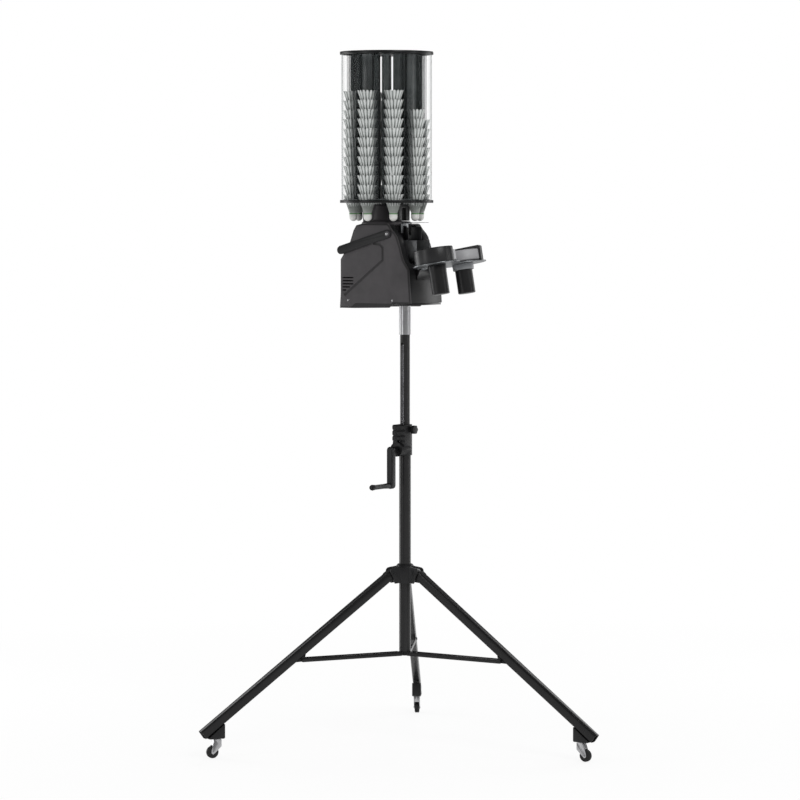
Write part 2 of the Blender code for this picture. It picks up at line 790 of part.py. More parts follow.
def winder():
    crank_housing()
    gear_z = CRANK_Z + GEAR_RISE
    gear_y = -(RACK_LINE + GEAR_MODULE * GEAR_TEETH / 2)
    gear_axis = pivot("gear_axis", STAND, (0, gear_y, gear_z))
    gear = prism("drive_gear", gear_outline(), -GEAR_W / 2, GEAR_W / 2, "YZ", STEEL, gear_axis, smooth=False)
    join(gear, rod("gear_shaft", GEAR_SHAFT_R, -GEAR_SHAFT_X, GEAR_SHAFT_X, 10, None, gear_axis, "X"))

    crank_axis = pivot("crank_axis", STAND, (0, 0, CRANK_Z))
    front = CRANK_ARM_BACK + CRANK_ARM_T
    outline = slot_outline(0, 0, 0, -CRANK_ARM_L, CRANK_ARM_W / 2, 5)
    arm = prism("crank_arm", outline, -front, -CRANK_ARM_BACK, "XZ", BLACK_PLASTIC, crank_axis)
    soften(arm, 0.003, 1, 60)
    shaft = [
        (0, MAST_R + 0.001),
        (WORM_R, MAST_R + 0.001),
        (WORM_R, BOSS_FRONT + RUN),
        (0.010, BOSS_FRONT + RUN),
        (0.010, CRANK_ARM_BACK + 0.004),
        (0, CRANK_ARM_BACK + 0.004),
    ]
    join(arm, turned("crank_shaft", shaft, 12, None, crank_axis, "-Y"))
    grip_axis = pivot("grip_axis", crank_axis, (0, 0, -CRANK_ARM_L))
    pin = [
        (0, front - 0.004),
        (GRIP_PIN_R, front - 0.004),
        (GRIP_PIN_R, front + GRIP_L + 0.0008),
        (0.0055, front + GRIP_L + 0.0008),
        (0.0055, front + GRIP_L + 0.002),
        (0, front + GRIP_L + 0.0028),
    ]
    join(arm, turned("grip_pin", pin, 8, None, grip_axis, "-Y"))
    start = front + RUN
    end = front + GRIP_L
    profile = [
        (GRIP_PIN_R + RUN, start),
        (GRIP_R - 0.001, start),
        (GRIP_R, start + 0.006),
        (GRIP_R - 0.0012, start + 0.030),
        (GRIP_R - 0.0012, end - 0.020),
        (GRIP_R + 0.0005, end - 0.005),
        (GRIP_R - 0.001, end),
        (GRIP_PIN_R + RUN, end),
    ]
    turned("crank_grip", profile, 12, BLACK_PLASTIC, grip_axis, "-Y")

    knob_axis = pivot("knob_axis", STAND, (0, 0, KNOB_Z))
    lobes = [
        polar(KNOB_R * (1 - 0.07 * (1 - math.cos(6 * a))), a)
        for a in (2 * math.pi * i / 24 for i in range(24))
    ]
    knob = prism("lock_knob", lobes, KNOB_X, KNOB_X + KNOB_T, "YZ", BLACK_PLASTIC, knob_axis)
    soften(knob, 0.0015, 1, 60)
    join(knob, rod("knob_screw", SCREW_R, MAST_R + RUN, KNOB_X + 0.002, 10, None, knob_axis, "X"))


def mast():
    """The sliding tube with the rack let into it, and the sleeve with the head's spindle on top."""
    lift = pivot("mast_lift", STAND)
    top = SLEEVE_TOP - 0.012
    mast_tube = tube("mast_tube", MAST_R, MAST_R - MAST_WALL, MAST_BOTTOM, top, 20, BLACK_PAINT, lift)
    half = RACK_W / 2 + GAP
    floor = -(MAST_R - RACK_DEPTH)
    cut(
        mast_tube,
        block("rack_groove", (-half, -0.03, RACK_BOTTOM - GAP), (half, floor, RACK_TOP + 0.006), None, lift),
    )
    outline = rack_outline(CRANK_Z + GEAR_RISE)
    prism("mast_rack", outline, -RACK_W / 2, RACK_W / 2, "YZ", STEEL, lift, smooth=False)
    seat = MAST_R + GAP
    profile = [
        (0, top + GAP),
        (seat, top + GAP),
        (seat, SLEEVE_BOTTOM),
        (SLEEVE_R, SLEEVE_BOTTOM),
        (SLEEVE_R, SLEEVE_TOP - 0.003),
        (SLEEVE_R - 0.003, SLEEVE_TOP),
        (SPINDLE_R, SLEEVE_TOP),
        (SPINDLE_R, SLEEVE_TOP + SPINDLE_L),
        (0, SLEEVE_TOP + SPINDLE_L),
    ]
    turned("top_sleeve", profile, 20, STEEL, lift)
    return lift


base_column()
tripod()
winder()
LIFT = mast()
HEAD = pivot("head_axis", LIFT)


def inset(points, depth, closed=True):
    """A line moved to its right by a depth, with mitred corners."""
    moved = []
    for i, (x, z) in enumerate(points):
        after = points[(i + 1) % len(points)]
        into = Vector((x - points[i - 1][0], z - points[i - 1][1])).normalized()
        out = Vector((after[0] - x, after[1] - z)).normalized()
        if not closed and i == 0:
            into = out
        if not closed and i == len(points) - 1:
            out = into
        along = (into + out).normalized()
        stretch = depth / along.dot(into)
        moved.append((x + along.y * stretch, z - along.x * stretch))
    return moved


def band(name, first, last, skin):
    """A sheet that follows the head's outline from one corner to another, as wide as the panels' inside."""
    inner = inset(SILHOUETTE, SHELL_T)
    outline = []
    for line in (SILHOUETTE, inner):
        part = [Vector(p) for p in line[first : last + 1]]
        part[0] += (part[1] - part[0]).normalized() * GAP / 2
        part[-1] += (part[-2] - part[-1]).normalized() * GAP / 2
        outline += part if line is SILHOUETTE else reversed(part)
    return prism(name, outline, -INSIDE_Y, INSIDE_Y, "XZ", skin, HEAD)


def loft(name, rings, skin, parent):
    """Rings with the same number of corners, bridged one to the next and closed at both ends."""
    mesh, bm = new_mesh(name)
    loops = [[bm.verts.new(p) for p in ring] for ring in rings]
    for low, high in zip(loops, loops[1:]):
        for i in range(len(low)):
            j = (i + 1) % len(low)
            bm.faces.new((low[i], low[j], high[j], high[i]))
    bm.faces.new(loops[0])
    bm.faces.new(loops[-1])
    return finish(name, mesh, bm, skin, parent)


def side_panel(name, side):
    inner = INSIDE_Y + GAP
    outer = inner + PANEL_T
    rings = [
        [(x, side * y, z) for x, z in line]
        for y, line in (
            (inner, SILHOUETTE),
            (inner + PANEL_T - PANEL_CHAMFER / 2, SILHOUETTE),
            (outer, inset(SILHOUETTE, PANEL_CHAMFER)),
        )
    ]
    panel = loft(name, rings, GREY_SHELL, HEAD)
    outline = inset(GROOVE_PATH, GROOVE_W / 2, False) + inset(GROOVE_PATH, -GROOVE_W / 2, False)[::-1]
    low, high = sorted((side * (outer - GROOVE_DEPTH), side * (outer + 0.01)))
    cut(panel, prism("groove", outline, low, high, "XZ", None, HEAD))
    for n, (start, end) in enumerate(VENTS):
        z = VENT_TOP - n * VENT_PITCH
        low, high = sorted((side * (inner - 0.01), side * (outer + 0.01)))
        outline = slot_outline(start, z, end, z, VENT_H / 2, 2)
        cut(panel, prism(f"vent_{n}", outline, low, high, "XZ", None, HEAD))
    strap = HANDLE_T + 2 * GAP
    bolt = [
        (0, outer - 0.001),
        (BOLT_R, outer - 0.001),
        (BOLT_R, outer + strap),
        (BOLT_HEAD_R, outer + strap),
        (BOLT_HEAD_R, outer + strap + 0.0015),
        (BOLT_HEAD_R * 0.6, outer + strap + 0.003),
        (0, outer + strap + 0.003),
    ]
    axis = "Y" if side > 0 else "-Y"
    join(panel, turned("handle_bolt", bolt, 12, None, HEAD, axis, (HANDLE_BOLT_X, 0, HANDLE_BOLT_Z)))


def rear_cover():
    """The sheet down the back, with the power switch's frame set into it."""
    cover = band("rear_cover", 0, 5, GREY_SHELL)
    join(
        cover,
        block(
            "switch_frame",
            (REAR_X - 0.001, -0.0092, SWITCH_Z - 0.0132),
            (REAR_X + 0.013, 0.0092, SWITCH_Z + 0.0132),
            None,
            HEAD,
        ),
    )
    cut(
        cover,
        block(
            "switch_room",
            (REAR_X - 0.01, -0.0075, SWITCH_Z - 0.0115),
            (REAR_X + 0.0115, 0.0075, SWITCH_Z + 0.0115),
            None,
            HEAD,
        ),
        rod(
            "switch_bore",
            SWITCH_PIN_R + GAP,
            -0.0086,
            0.0086,
            8,
            None,
            HEAD,
            "Y",
            (REAR_X + SWITCH_IN, 0, SWITCH_Z),
        ),
    )
    axis = pivot("switch_axis", HEAD, (REAR_X + SWITCH_IN, 0, SWITCH_Z))
    outline = [
        (-0.0082, 0.0098),
        (-0.0060, 0),
        (-0.0068, -0.0098),
        (0.0014, -0.0064),
        (0.0036, 0),
        (0.0014, 0.0064),
    ]
    rocker = prism("power_switch", outline, -0.0071, 0.0071, "XZ", BLACK_PLASTIC, axis, smooth=False)
    join(rocker, rod("switch_pin", SWITCH_PIN_R, -0.0083, 0.0083, 8, None, axis, "Y"))


def top_cover():
    """The lid with the magazine's pedestal and spindle, notched for the claw's frame."""
    cover = band("top_cover", 5, 8, GREY_SHELL)
    low = SILHOUETTE[7][1]
    profile = [
        (0, low - 0.001),
        (PEDESTAL_R, low - 0.001),
        (PEDESTAL_R, low + 0.003),
        (PEDESTAL_R - 0.006, low + 0.007),
        (COLUMN_R + 0.006, low + 0.0085),
        (COLUMN_R, low + 0.014),
        (COLUMN_TOP_R, COLUMN_Z),
        (SPINDLE_R - 0.002, COLUMN_Z),
        (SPINDLE_R - 0.002, MAG_BASE_Z + 0.004),
        (0, MAG_BASE_Z + 0.004),
    ]
    join(cover, turned("pedestal", profile, 24, None, HEAD, "Z", (MAG_X, 0, 0)))
    half = CLAW_W / 2 + RUN
    cut(
        cover,
        block("chute_side", (CHUTE_EDGE, -0.1, low - 0.02), (0.05, 0.1, low + 0.02), None, HEAD),
        block("claw_notch", (CLAW_X - RUN, -half, low - 0.02), (0.05, half, low + 0.03), None, HEAD),
    )


def front_frame():
    """The front: closed below, two rails beside the window above, and the recess behind it."""
    frame = band("front_frame", 8, 15, GREY_SHELL)
    back = LINER_BACK
    front = SILHOUETTE[14][0] - 0.003
    roof = SILHOUETTE[8][1]
    cut(frame, block("window", (back, -RAIL_IN, WINDOW_SILL), (0.12, RAIL_IN, roof + 0.02), None, HEAD))
    liner = block(
        "recess",
        (back, -RAIL_IN - 0.001, WINDOW_SILL - LINER_T),
        (front, RAIL_IN + 0.001, roof),
        None,
        HEAD,
    )
    hollow = (back + LINER_T, -RAIL_IN + LINER_T, WINDOW_SILL), (0.12, RAIL_IN - LINER_T, roof + 0.02)
    cut(liner, block("recess_room", *hollow, None, HEAD))
    inner = inset(SILHOUETTE, SHELL_T / 2)
    kept = [Vector(p) for p in inner[7:15]]
    kept[0] = Vector((back - 0.02, SILHOUETTE[8][1] - SHELL_T - GAP))
    kept[1] = Vector((inner[8][0] - 0.0022, SILHOUETTE[8][1] - SHELL_T - GAP))
    floor = WINDOW_SILL - 0.068
    outline = [*kept, (kept[-1][0], floor), (back - 0.02, floor)]
    keep = prism("recess_limit", outline, -0.1, 0.1, "XZ", None, HEAD)
    shorten = liner.modifiers.new("within_front", "BOOLEAN")
    shorten.operation = "INTERSECT"
    shorten.solver = "EXACT"
    shorten.object = keep
    helper(keep)
    rails = []
    for side in (-1, 1):
        low, high = sorted((side * CLAW_RAIL_IN, side * CLAW_W / 2))
        rails.append(
            block(
                "claw_rail",
                (back + LINER_T / 2, low, CLAW_RAIL_LOW),
                (CLAW_X - GAP, high, SILHOUETTE[8][1] - SHELL_T - 2 * GAP),
                None,
                HEAD,
            ),
        )
    join(frame, liner, *rails)


def drop_chute():
    """The half tube that a falling shuttle comes down in, held between the recess's cheeks."""
    x = MAG_X + MAG_PITCH_R
    quarter = math.pi / 2
    outline = arc(x, 0, CHUTE_R + CHUTE_T, quarter, 3 * quarter, 10)
    outline += arc(x, 0, CHUTE_R, 3 * quarter, quarter, 10)
    chute = prism("drop_chute", outline, CHUTE_LOW, CHUTE_TOP, "XY", BLACK_PLASTIC, HEAD)
    cheek = RAIL_IN - LINER_T - GAP
    for side in (-1, 1):
        low, high = sorted((side * 0.026, side * cheek))
        join(
            chute,
            block("chute_wing", (WING_X, low, CHUTE_LOW), (WING_X + CHUTE_T, high, WING_TOP), None, HEAD),
        )
    slot = CLAW_W / 2 + 2 * RUN
    cut(
        chute,
        rod("chute_room", CHUTE_R, CHUTE_LOW - 0.01, CHUTE_TOP + 0.01, 20, None, HEAD, "Z", (x, 0, 0)),
        block("chute_slot", (-0.01, -slot, CHUTE_SLOT), (x / 2, slot, CHUTE_TOP + 0.01), None, HEAD),
    )


def claw_guide():
    """The black tower on the lid behind the claw, with the groove that its slide runs in."""
    low = SILHOUETTE[7][1] + 0.0085 + GAP
    half = GUIDE_W / 2
    front = CLAW_X - GAP
    corner = 0.004
    outline = [
        (GUIDE_BACK, -half),
        (front - corner, -half),
        (front, -half + corner),
        (front, half - corner),
        (front - corner, half),
        (GUIDE_BACK, half),
    ]
    tower = prism("claw_guide", outline, low, GUIDE_TOP, "XY", BLACK_PLASTIC, HEAD)
    room = (front - GUIDE_GROOVE, -CLAW_RAIL_IN, low - 0.01), (front + 0.01, CLAW_RAIL_IN, GUIDE_TOP - 0.012)
    cut(tower, block("guide_groove", *room, None, HEAD))
    soften(tower, 0.0012)


def guide_trough():
    """The bent sheet that carries a shuttle from the chute to the wheels."""
    middle = WINDOW_SILL + GAP + TROUGH_T + CHUTE_R
    outer = CHUTE_R + TROUGH_T
    outline = [(outer, TROUGH_TOP)]
    outline += arc(0, middle, outer, 0, -math.pi, 12)
    outline += [(-outer, TROUGH_TOP), (-CHUTE_R, TROUGH_TOP)]
    outline += arc(0, middle, CHUTE_R, -math.pi, 0, 12)
    outline += [(CHUTE_R, TROUGH_TOP)]
    trough = prism("guide_trough", outline, TROUGH_BACK, TROUGH_FRONT, "YZ", SHEET_METAL, HEAD)
    foot = block(
        "trough_foot",
        (TROUGH_BACK + 0.004, -0.010, WINDOW_SILL + GAP),
        (0.052, 0.010, WINDOW_SILL + 0.0016),
        None,
        HEAD,
    )
    join(trough, foot)


def tilt_bracket():
    """The hinge plate on the front, its two ears bored for the launcher's pins."""
    high = Vector(SILHOUETTE[14])
    low = Vector(SILHOUETTE[15])
    down = (low - high).normalized()
    out = Vector((-down.y, down.x))
    start = high + out * GAP + down * 0.001
    end = start + down * BRACKET_H
    outline = [start, start + out * BRACKET_T, end + out * BRACKET_T, end]
    half = TILT_EAR_Y + EAR_T / 2
    bracket = prism("tilt_bracket", outline, -half, half, "XZ", BLACK_PLASTIC, HEAD)
    reach = start + down * 0.012 + out * BRACKET_T / 2
    slope = (Vector(SILHOUETTE[13]) - high).normalized()
    away = Vector((slope.y, -slope.x))
    corner = high + (out + away).normalized() * GAP
    above = corner + slope * 0.03
    face = [above, corner, end + down * 0.02, end + down * 0.02 - out * 0.03, above - out * 0.03]
    for side in (-1, 1):
        ear_low = side * TILT_EAR_Y - EAR_T / 2
        ear = slot_outline(*reach, TILT_X, TILT_Z, 0.007, 5)
        join(bracket, prism("bracket_ear", ear, ear_low, ear_low + EAR_T, "XZ", None, HEAD))
    cut(
        bracket,
        prism("front_face", face, -0.1, 0.1, "XZ", None, HEAD),
        rod("tilt_bore", TILT_PIN_R + GAP, -0.06, 0.06, 12, None, HEAD, "Y", (TILT_X, 0, TILT_Z)),
    )


def carry_handle():
    axis = pivot("handle_axis", HEAD, (HANDLE_BOLT_X, 0, HANDLE_BOLT_Z))
    end = (-HANDLE_L * math.cos(HANDLE_DROP), -HANDLE_L * math.sin(HANDLE_DROP))
    inner = INSIDE_Y + GAP + PANEL_T + GAP
    outline = slot_outline(0, 0, *end, HANDLE_W / 2, 6)
    handle = prism("carry_handle", outline, -inner - HANDLE_T, -inner, "XZ", BLACK_PLASTIC, axis)
    join(
        handle,
        prism("handle_strap", outline, inner, inner + HANDLE_T, "XZ", None, axis),
        rod(
            "handle_bar",
            HANDLE_BAR_R,
            -inner - 0.002,
            inner + 0.002,
            16,
            None,
            axis,
            "Y",
            (end[0], 0, end[1]),
        ),
    )
    cut(handle, rod("bolt_bore", BOLT_R + GAP, -0.2, 0.2, 12, None, axis, "Y"))


def base_plate():
    plate = block(
        "base_plate",
        (PLATE_BACK, -INSIDE_Y, PLATE_Z),
        (PLATE_FRONT, INSIDE_Y, PLATE_Z + PLATE_T),
        BLACK_PAINT,
        HEAD,
    )
    join(plate, rod("spindle_boss", SPINDLE_R + 0.010, PLATE_Z, PLATE_Z + BOSS_H, 20, None, HEAD))
    cut(plate, rod("spindle_bore", SPINDLE_R + RUN, PLATE_Z - 0.01, PLATE_Z + BOSS_H + 0.01, 20, None, HEAD))


def claw():
    """The slide with its frame and two jaws, drawn lowered so that the corks pass over it."""
    slide = pivot("claw_slide", HEAD, (0, 0, -CLAW_DROP))
    top = CLAW_Z - GAP
    half = CLAW_W / 2
    front = CLAW_X + CLAW_T
    frame = block("claw_carriage", (CLAW_X, -half, CLAW_LOW), (front, half, top), SHEET_METAL, slide)
    cut(
        frame,
        block(
            "claw_opening",
            (CLAW_X - 0.01, -0.010, CLAW_LOW - 0.01),
            (front + 0.01, 0.010, top - 0.010),
            None,
            slide,
        ),
    )
    join(
        frame,
        block("claw_shelf", (CLAW_X, -half, top - 0.003), (JAW_PIVOT_X + 0.005, half, top), None, slide),
    )
    jaw_top = CLAW_Z + JAW_T
    centre = MAG_X + MAG_PITCH_R - JAW_PIVOT_X
    for side, name in ((1, "left"), (-1, "right")):
        pin = [
            (0, top - 0.001),
            (JAW_PIN_R, top - 0.001),
            (JAW_PIN_R, jaw_top + GAP),
            (0.0032, jaw_top + GAP),
            (0.0032, jaw_top + 0.0014),
            (0, jaw_top + 0.0018),
        ]
        at = (JAW_PIVOT_X, side * JAW_PIVOT_Y, 0)
        join(frame, turned(f"jaw_pin_{name}", pin, 8, None, slide, "Z", at))
        axis = pivot(f"claw_axis_{name}", slide, at)
        inner = JAW_PIVOT_Y
        tip = JAW_REACH - JAW_PIVOT_X
        notch = [(x, y - inner) for x, y in arc(centre, 0, NECK_R, math.radians(165), math.radians(28), 7)]
        near = 0.0012 - inner
        outline = [(-0.0045, 0.0048), (-0.0045, -0.0045), (0.012, near)]
        outline += [(notch[0][0] - 0.001, near), *notch]
        outline += [(tip - 0.010, notch[-1][1] + 0.001), (tip, 0.003), (tip + 0.001, 0.0065)]
        outline += [(tip - 0.012, 0.0052), (centre + 0.006, 0.0085), (centre - 0.010, 0.0078)]
        jaw = prism(
            f"claw_jaw_{name}",
            [(x, side * y) for x, y in outline],
            CLAW_Z,
            jaw_top,
            "XY",
            STEEL,
            axis,
            False,
        )
        cut(jaw, rod("jaw_bore", JAW_PIN_R + GAP, CLAW_Z - 0.01, jaw_top + 0.01, 8, None, axis))


def column_angle(n):
    return 2 * math.pi * n / len(STACKS)


def holed_disc(name, radius, low, high, hole, skin, parent):
    disc = rod(name, radius, low, high, 40, skin, parent)
    for n in range(len(STACKS)):
        x, y = polar(MAG_PITCH_R, column_angle(n))
        cut(disc, rod(f"{name}_hole_{n}", hole, low - 0.01, high + 0.01, 12, None, parent, "Z", (x, y, 0)))
    return disc


def shuttle_stack(n, count, parent):
    """Shuttles nested one in the other, cork down, in one column of the magazine."""
    rise = (RIM_R - CORK_R) / (SHUTTLE_H - CORK_H)
    profile = [
        (0, CORK_Z), (CORK_R * 0.55, CORK_Z + 0.0015), (CORK_R, CORK_Z + 0.010), (CORK_R, CORK_Z + CORK_H)
    ]
    rim = CORK_Z + SHUTTLE_H + (count - 1) * NEST_PITCH
    profile += [(RIM_R, CORK_Z + SHUTTLE_H), (RIM_R, rim)]
    inside = 1.8 * NEST_PITCH
    profile += [
        (RIM_R - FEATHER_T, rim), (RIM_R - FEATHER_T - rise * inside, rim - inside), (0, rim - inside)
    ]
    x, y = polar(MAG_PITCH_R, column_angle(n))
    turned(f"shuttle_stack_{n}", profile, STACK_STEPS, FEATHER, parent, "Z", (x, y, 0), 60.0)


def magazine():
    axis = pivot("magazine_axis", HEAD, (MAG_X, 0, 0))
    low = MAG_BASE_Z + MAG_DISC_T
    high = MAG_TOP_Z - MAG_DISC_T
    rise = (RIM_R - CORK_R) / (SHUTTLE_H - CORK_H)
    throat = CORK_R + rise * (low - CORK_Z - CORK_H) + RUN
    base = holed_disc("magazine_base", MAG_DISC_R, MAG_BASE_Z, low, throat, GREY_SHELL, axis)
    join(base, rod("magazine_boss", 0.020, COLUMN_Z + GAP, MAG_BASE_Z + 0.002, 16, None, axis))
    cut(base, rod("magazine_bore", SPINDLE_R - 0.002 + RUN, COLUMN_Z - 0.01, low + 0.01, 16, None, axis))
    holed_disc("magazine_top", MAG_DISC_R, high, MAG_TOP_Z, LOAD_HOLE_R, GREY_SHELL, axis)
    tube("magazine_cylinder", MAG_GLASS_R, MAG_GLASS_R - MAG_GLASS_T, low + GAP, high - GAP, 40, CLEAR, axis)
    flange_top = low + GAP + CHANNEL_BASE_T
    channels = holed_disc(
        "magazine_channels", CHANNEL_BASE_R, low + GAP, flange_top, CHANNEL_R - 0.0005, CHANNEL_GREY, axis
    )
    back = math.pi - math.asin(CHANNEL_SLIT / 2 / CHANNEL_R)
    strips = []
    for n in range(len(STACKS)):
        out = column_angle(n)
        x, y = polar(MAG_PITCH_R, out)
        for side in (-1, 1):
            start = out + side * CHANNEL_OPEN
            end = out + side * back
            outline = arc(x, y, CHANNEL_R, start, end, 4) + arc(x, y, CHANNEL_R + CHANNEL_T, end, start, 4)
            strips.append(prism(f"channel_{n}", outline, flange_top - 0.001, high - GAP, "XY", None, axis))
    join(channels, *strips)
    for n, count in enumerate(STACKS):
        shuttle_stack(n, count, axis)


def launcher():
    """The tilting deck with two motors under it and two wheels on top, in the deck's own frame."""
    axis = pivot("tilt_axis", HEAD, (TILT_X, 0, TILT_Z), (0, -TILT, 0))
    low = DECK_TOP - DECK_T
    ear_in = TILT_EAR_Y - EAR_T / 2 - GAP - EAR_T
    plate = rod("launcher_plate", DECK_R, low, DECK_TOP, 32, SHEET_METAL, axis, "Z", (WHEEL_U, WHEEL_V, 0))
    other = rod("deck_disc", DECK_R, low, DECK_TOP, 32, None, axis, "Z", (WHEEL_U, -WHEEL_V, 0))
    ear_out = ear_in + EAR_T
    web = block("deck_web", (0.010, -ear_out, low), (WHEEL_U + 0.012, ear_out, DECK_TOP), None, axis)
    join(plate, other, web)
    for side in (-1, 1):
        start, end = sorted((side * ear_in, side * ear_out))
        ear = prism("deck_ear", slot_outline(0, 0, 0.020, 0, 0.0065, 4), start, end, "XZ", None, axis)
        pin_start, pin_end = sorted((side * (ear_in + 0.001), side * (TILT_EAR_Y + EAR_T / 2 + 0.0015)))
        join(plate, ear, rod("deck_pin", TILT_PIN_R, pin_start, pin_end, 12, None, axis, "Y"))
    for side, name in ((1, "left"), (-1, "right")):
        at = (WHEEL_U, side * WHEEL_V, 0)
        cut(plate, rod("shaft_hole", SHAFT_R + RUN, low - 0.01, DECK_TOP + 0.01, 10, None, axis, "Z", at))
        facing = side * math.pi / 2
        rings = []
        for radius, height in (
            (GUARD_R, DECK_TOP + GAP),
            (GUARD_R, GUARD_TOP - 0.003),
            (GUARD_R - 0.003, GUARD_TOP),
        ):
            outline = arc(*at[:2], radius, facing - math.pi / 2, facing + math.pi / 2, 14)
            rings.append([(x, y, height) for x, y in outline])
        guard = loft(f"wheel_guard_{name}", rings, GUARD_GREY, axis)
        room = rod("guard_room", GUARD_R - GUARD_T, -0.01, GUARD_TOP - GUARD_ROOF, 28, None, axis, "Z", at)
        cut(guard, room)
        wheel_axis = pivot(f"wheel_axis_{name}", axis, at)
        top = WHEEL_LOW + WHEEL_W
        profile = [
            (SHAFT_R + RUN, WHEEL_LOW),
            (WHEEL_R - 0.003, WHEEL_LOW),
            (WHEEL_R, WHEEL_LOW + 0.003),
            (WHEEL_R, top - 0.003),
            (WHEEL_R - 0.003, top),
            (SHAFT_R + RUN, top),
        ]
        turned(f"launch_wheel_{name}", profile, 28, WHEEL_GREY, wheel_axis)
        flange = 0.034 if side > 0 else MOTOR_R + 0.0015
        motor = [
            (0, MOTOR_BOTTOM),
            (MOTOR_R - 0.002, MOTOR_BOTTOM),
            (MOTOR_R, MOTOR_BOTTOM + 0.002),
            (MOTOR_R, low - 0.020),
            (flange - 0.001, low - 0.018),
            (flange, low - GAP),
            (SHAFT_R, low - GAP),
            (SHAFT_R, top - 0.0035),
            (0, top - 0.0035),
        ]
        turned(f"launch_motor_{name}", motor, 18, BLACK_PLASTIC, axis, "Z", at)


base_plate()
side_panel("side_panel_left", 1)
side_panel("side_panel_right", -1)
rear_cover()
top_cover()
front_frame()
drop_chute()
claw_guide()
guide_trough()
tilt_bracket()
carry_handle()
claw()
magazine()
launcher()

bpy.context.view_layer.update()
graph = bpy.context.evaluated_depsgraph_get()
corners = [
    made.matrix_world @ Vector(corner)
    for made in bpy.context.scene.objects
    if made.type == "MESH" and not made.hide_render
    for corner in made.evaluated_get(graph).bound_box
]
STAND.location.x -= (min(c.x for c in corners) + max(c.x for c in corners)) / 2
STAND.location.y -= (min(c.y for c in corners) + max(c.y for c in corners)) / 2
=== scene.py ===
import json
import math

import bmesh
import bpy
from mathutils import Matrix, Vector


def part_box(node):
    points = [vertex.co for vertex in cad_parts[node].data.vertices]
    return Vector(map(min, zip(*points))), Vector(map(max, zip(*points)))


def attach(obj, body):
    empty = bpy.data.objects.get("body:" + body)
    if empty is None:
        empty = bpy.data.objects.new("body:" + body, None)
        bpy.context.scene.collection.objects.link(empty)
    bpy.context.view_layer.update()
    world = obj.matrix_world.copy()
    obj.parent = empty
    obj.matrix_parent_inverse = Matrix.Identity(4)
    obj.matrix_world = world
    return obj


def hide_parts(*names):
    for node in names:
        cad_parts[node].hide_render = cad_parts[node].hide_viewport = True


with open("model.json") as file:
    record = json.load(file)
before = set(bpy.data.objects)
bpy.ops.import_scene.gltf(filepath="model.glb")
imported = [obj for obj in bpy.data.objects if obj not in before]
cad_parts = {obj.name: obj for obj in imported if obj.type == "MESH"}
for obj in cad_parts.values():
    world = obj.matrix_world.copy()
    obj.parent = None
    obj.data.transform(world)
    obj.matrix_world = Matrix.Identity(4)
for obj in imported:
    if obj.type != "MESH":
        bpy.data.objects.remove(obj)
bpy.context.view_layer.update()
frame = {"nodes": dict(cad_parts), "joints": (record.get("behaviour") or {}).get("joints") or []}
NODES = frame["nodes"]


def joint_at(name):
    return next(joint for joint in frame["joints"] if joint["name"] == name)["pos_m"]


POLE_X = joint_at("head_swivel")[0]
SIDES = ((-1, "right"), (1, "left"))

# Camera, from the photograph's vanishing lines and the pole's scale
AZIMUTH = math.radians(33.5)
DISTANCE = 10.95
EYE_Z = 1.714
PITCH = math.radians(3.27)
METRES_PER_PIXEL = 0.00315
LENS_TRIM = 1.002
POLE_PIXEL = 405.0
FRAME_PIXELS = 800.0
SENSOR_MM = 36.0
CLIP_END = 60.0

# Magazine columns: shuttles in each, the height of the lowest corks' noses, and the columns' places
STACKS = (10, 9, 12, 12, 12, 12, 12, 12)
LOWEST_NOSE_Z = 1.651
NEST_PITCH = 0.0294
MAG_X = joint_at("magazine_turn")[0]
MAG_PITCH_R = 0.107
NEST_TWIST = 0.7
COLUMN_TWIST = 1.3

# Shuttles, with heights above the cork's nose
SHUTTLE_H = 0.085
CORK_R = 0.0128
CORK_H = 0.025
CORK_CHAMFER = 0.001
BAND_LOW = CORK_H - 0.0034
BAND_HIGH = CORK_H - 0.0006
BAND_R = CORK_R + 0.0002
SKIRT_FOOT_R = CORK_R - 0.0006
SKIRT_RIM_R = 0.0326
# A cone of painted shade inside the lowest shuttle: its heights and insets
SHADE_CONE_LOW = 0.0245
SHADE_CONE_HIGH = 0.050
SHADE_CONE_LOW_INSET = 0.0022
SHADE_CONE_HIGH_INSET = 0.0026
NOSE_STEPS = 6
TURNED_STEPS = 20

# Feathers: each row is a share of the vane's height, a share of its spacing and a share of the tip's cut
VANES = 16
VANE_FOOT = 0.046
NESTED_VANE_FOOT = 0.044
VANE_ROWS = ((0.0, 0.50, 0.0), (0.4, 0.80, 0.0), (0.8, 1.02, 0.0), (1.0, 1.02, 1.0))
VANE_SIDES = (-1.0, -0.55, 0.0, 0.55, 1.0)
# The faces round the vane that are left without painted shade: the middle of its outer face
VANE_OUTER_MIDDLE = (1, 2)
VANE_THICK = 0.0004
VANE_BOW = 0.0022
TIP_CUT = 0.0080

# Quills, with their section in thicknesses, outwards and aside
QUILL_FOOT = CORK_H - 0.003
QUILL_TOP = 0.062
QUILL_TOP_BETWEEN = 0.056
QUILL_INSET = 0.0004
QUILL_FOOT_THICK = 0.0010
QUILL_TOP_THICK = 0.0005
QUILL_SECTION = ((0.4, -1), (0.4, 1), (-1.2, 1), (-1.2, -1))

# The cross threads round the lowest shuttle's stems
THREADS = 5
THREAD_LOW = 0.0285
THREAD_PITCH = 0.0045
THREAD_STEPS = 32
THREAD_PULL = 0.0004
THREAD_THICK = 0.0005
THREAD_SECTION = ((0, -THREAD_THICK), (0.0003, 0), (0, THREAD_THICK), (-THREAD_THICK, 0))

# Edges of the CAD pieces and of the new ones
WELD_REACH = 0.00001
EASE_WIDTH = 0.0005
EASE_ANGLE = math.radians(38)
CREASE_ANGLE = math.radians(42)
SHARP_ANGLE = math.radians(50)
ON_AXIS = 1e-6


def shader_tree(name):
    made = bpy.data.materials.new(name)
    made.use_nodes = True
    tree = made.node_tree
    return made, tree, tree.nodes["Principled BSDF"]


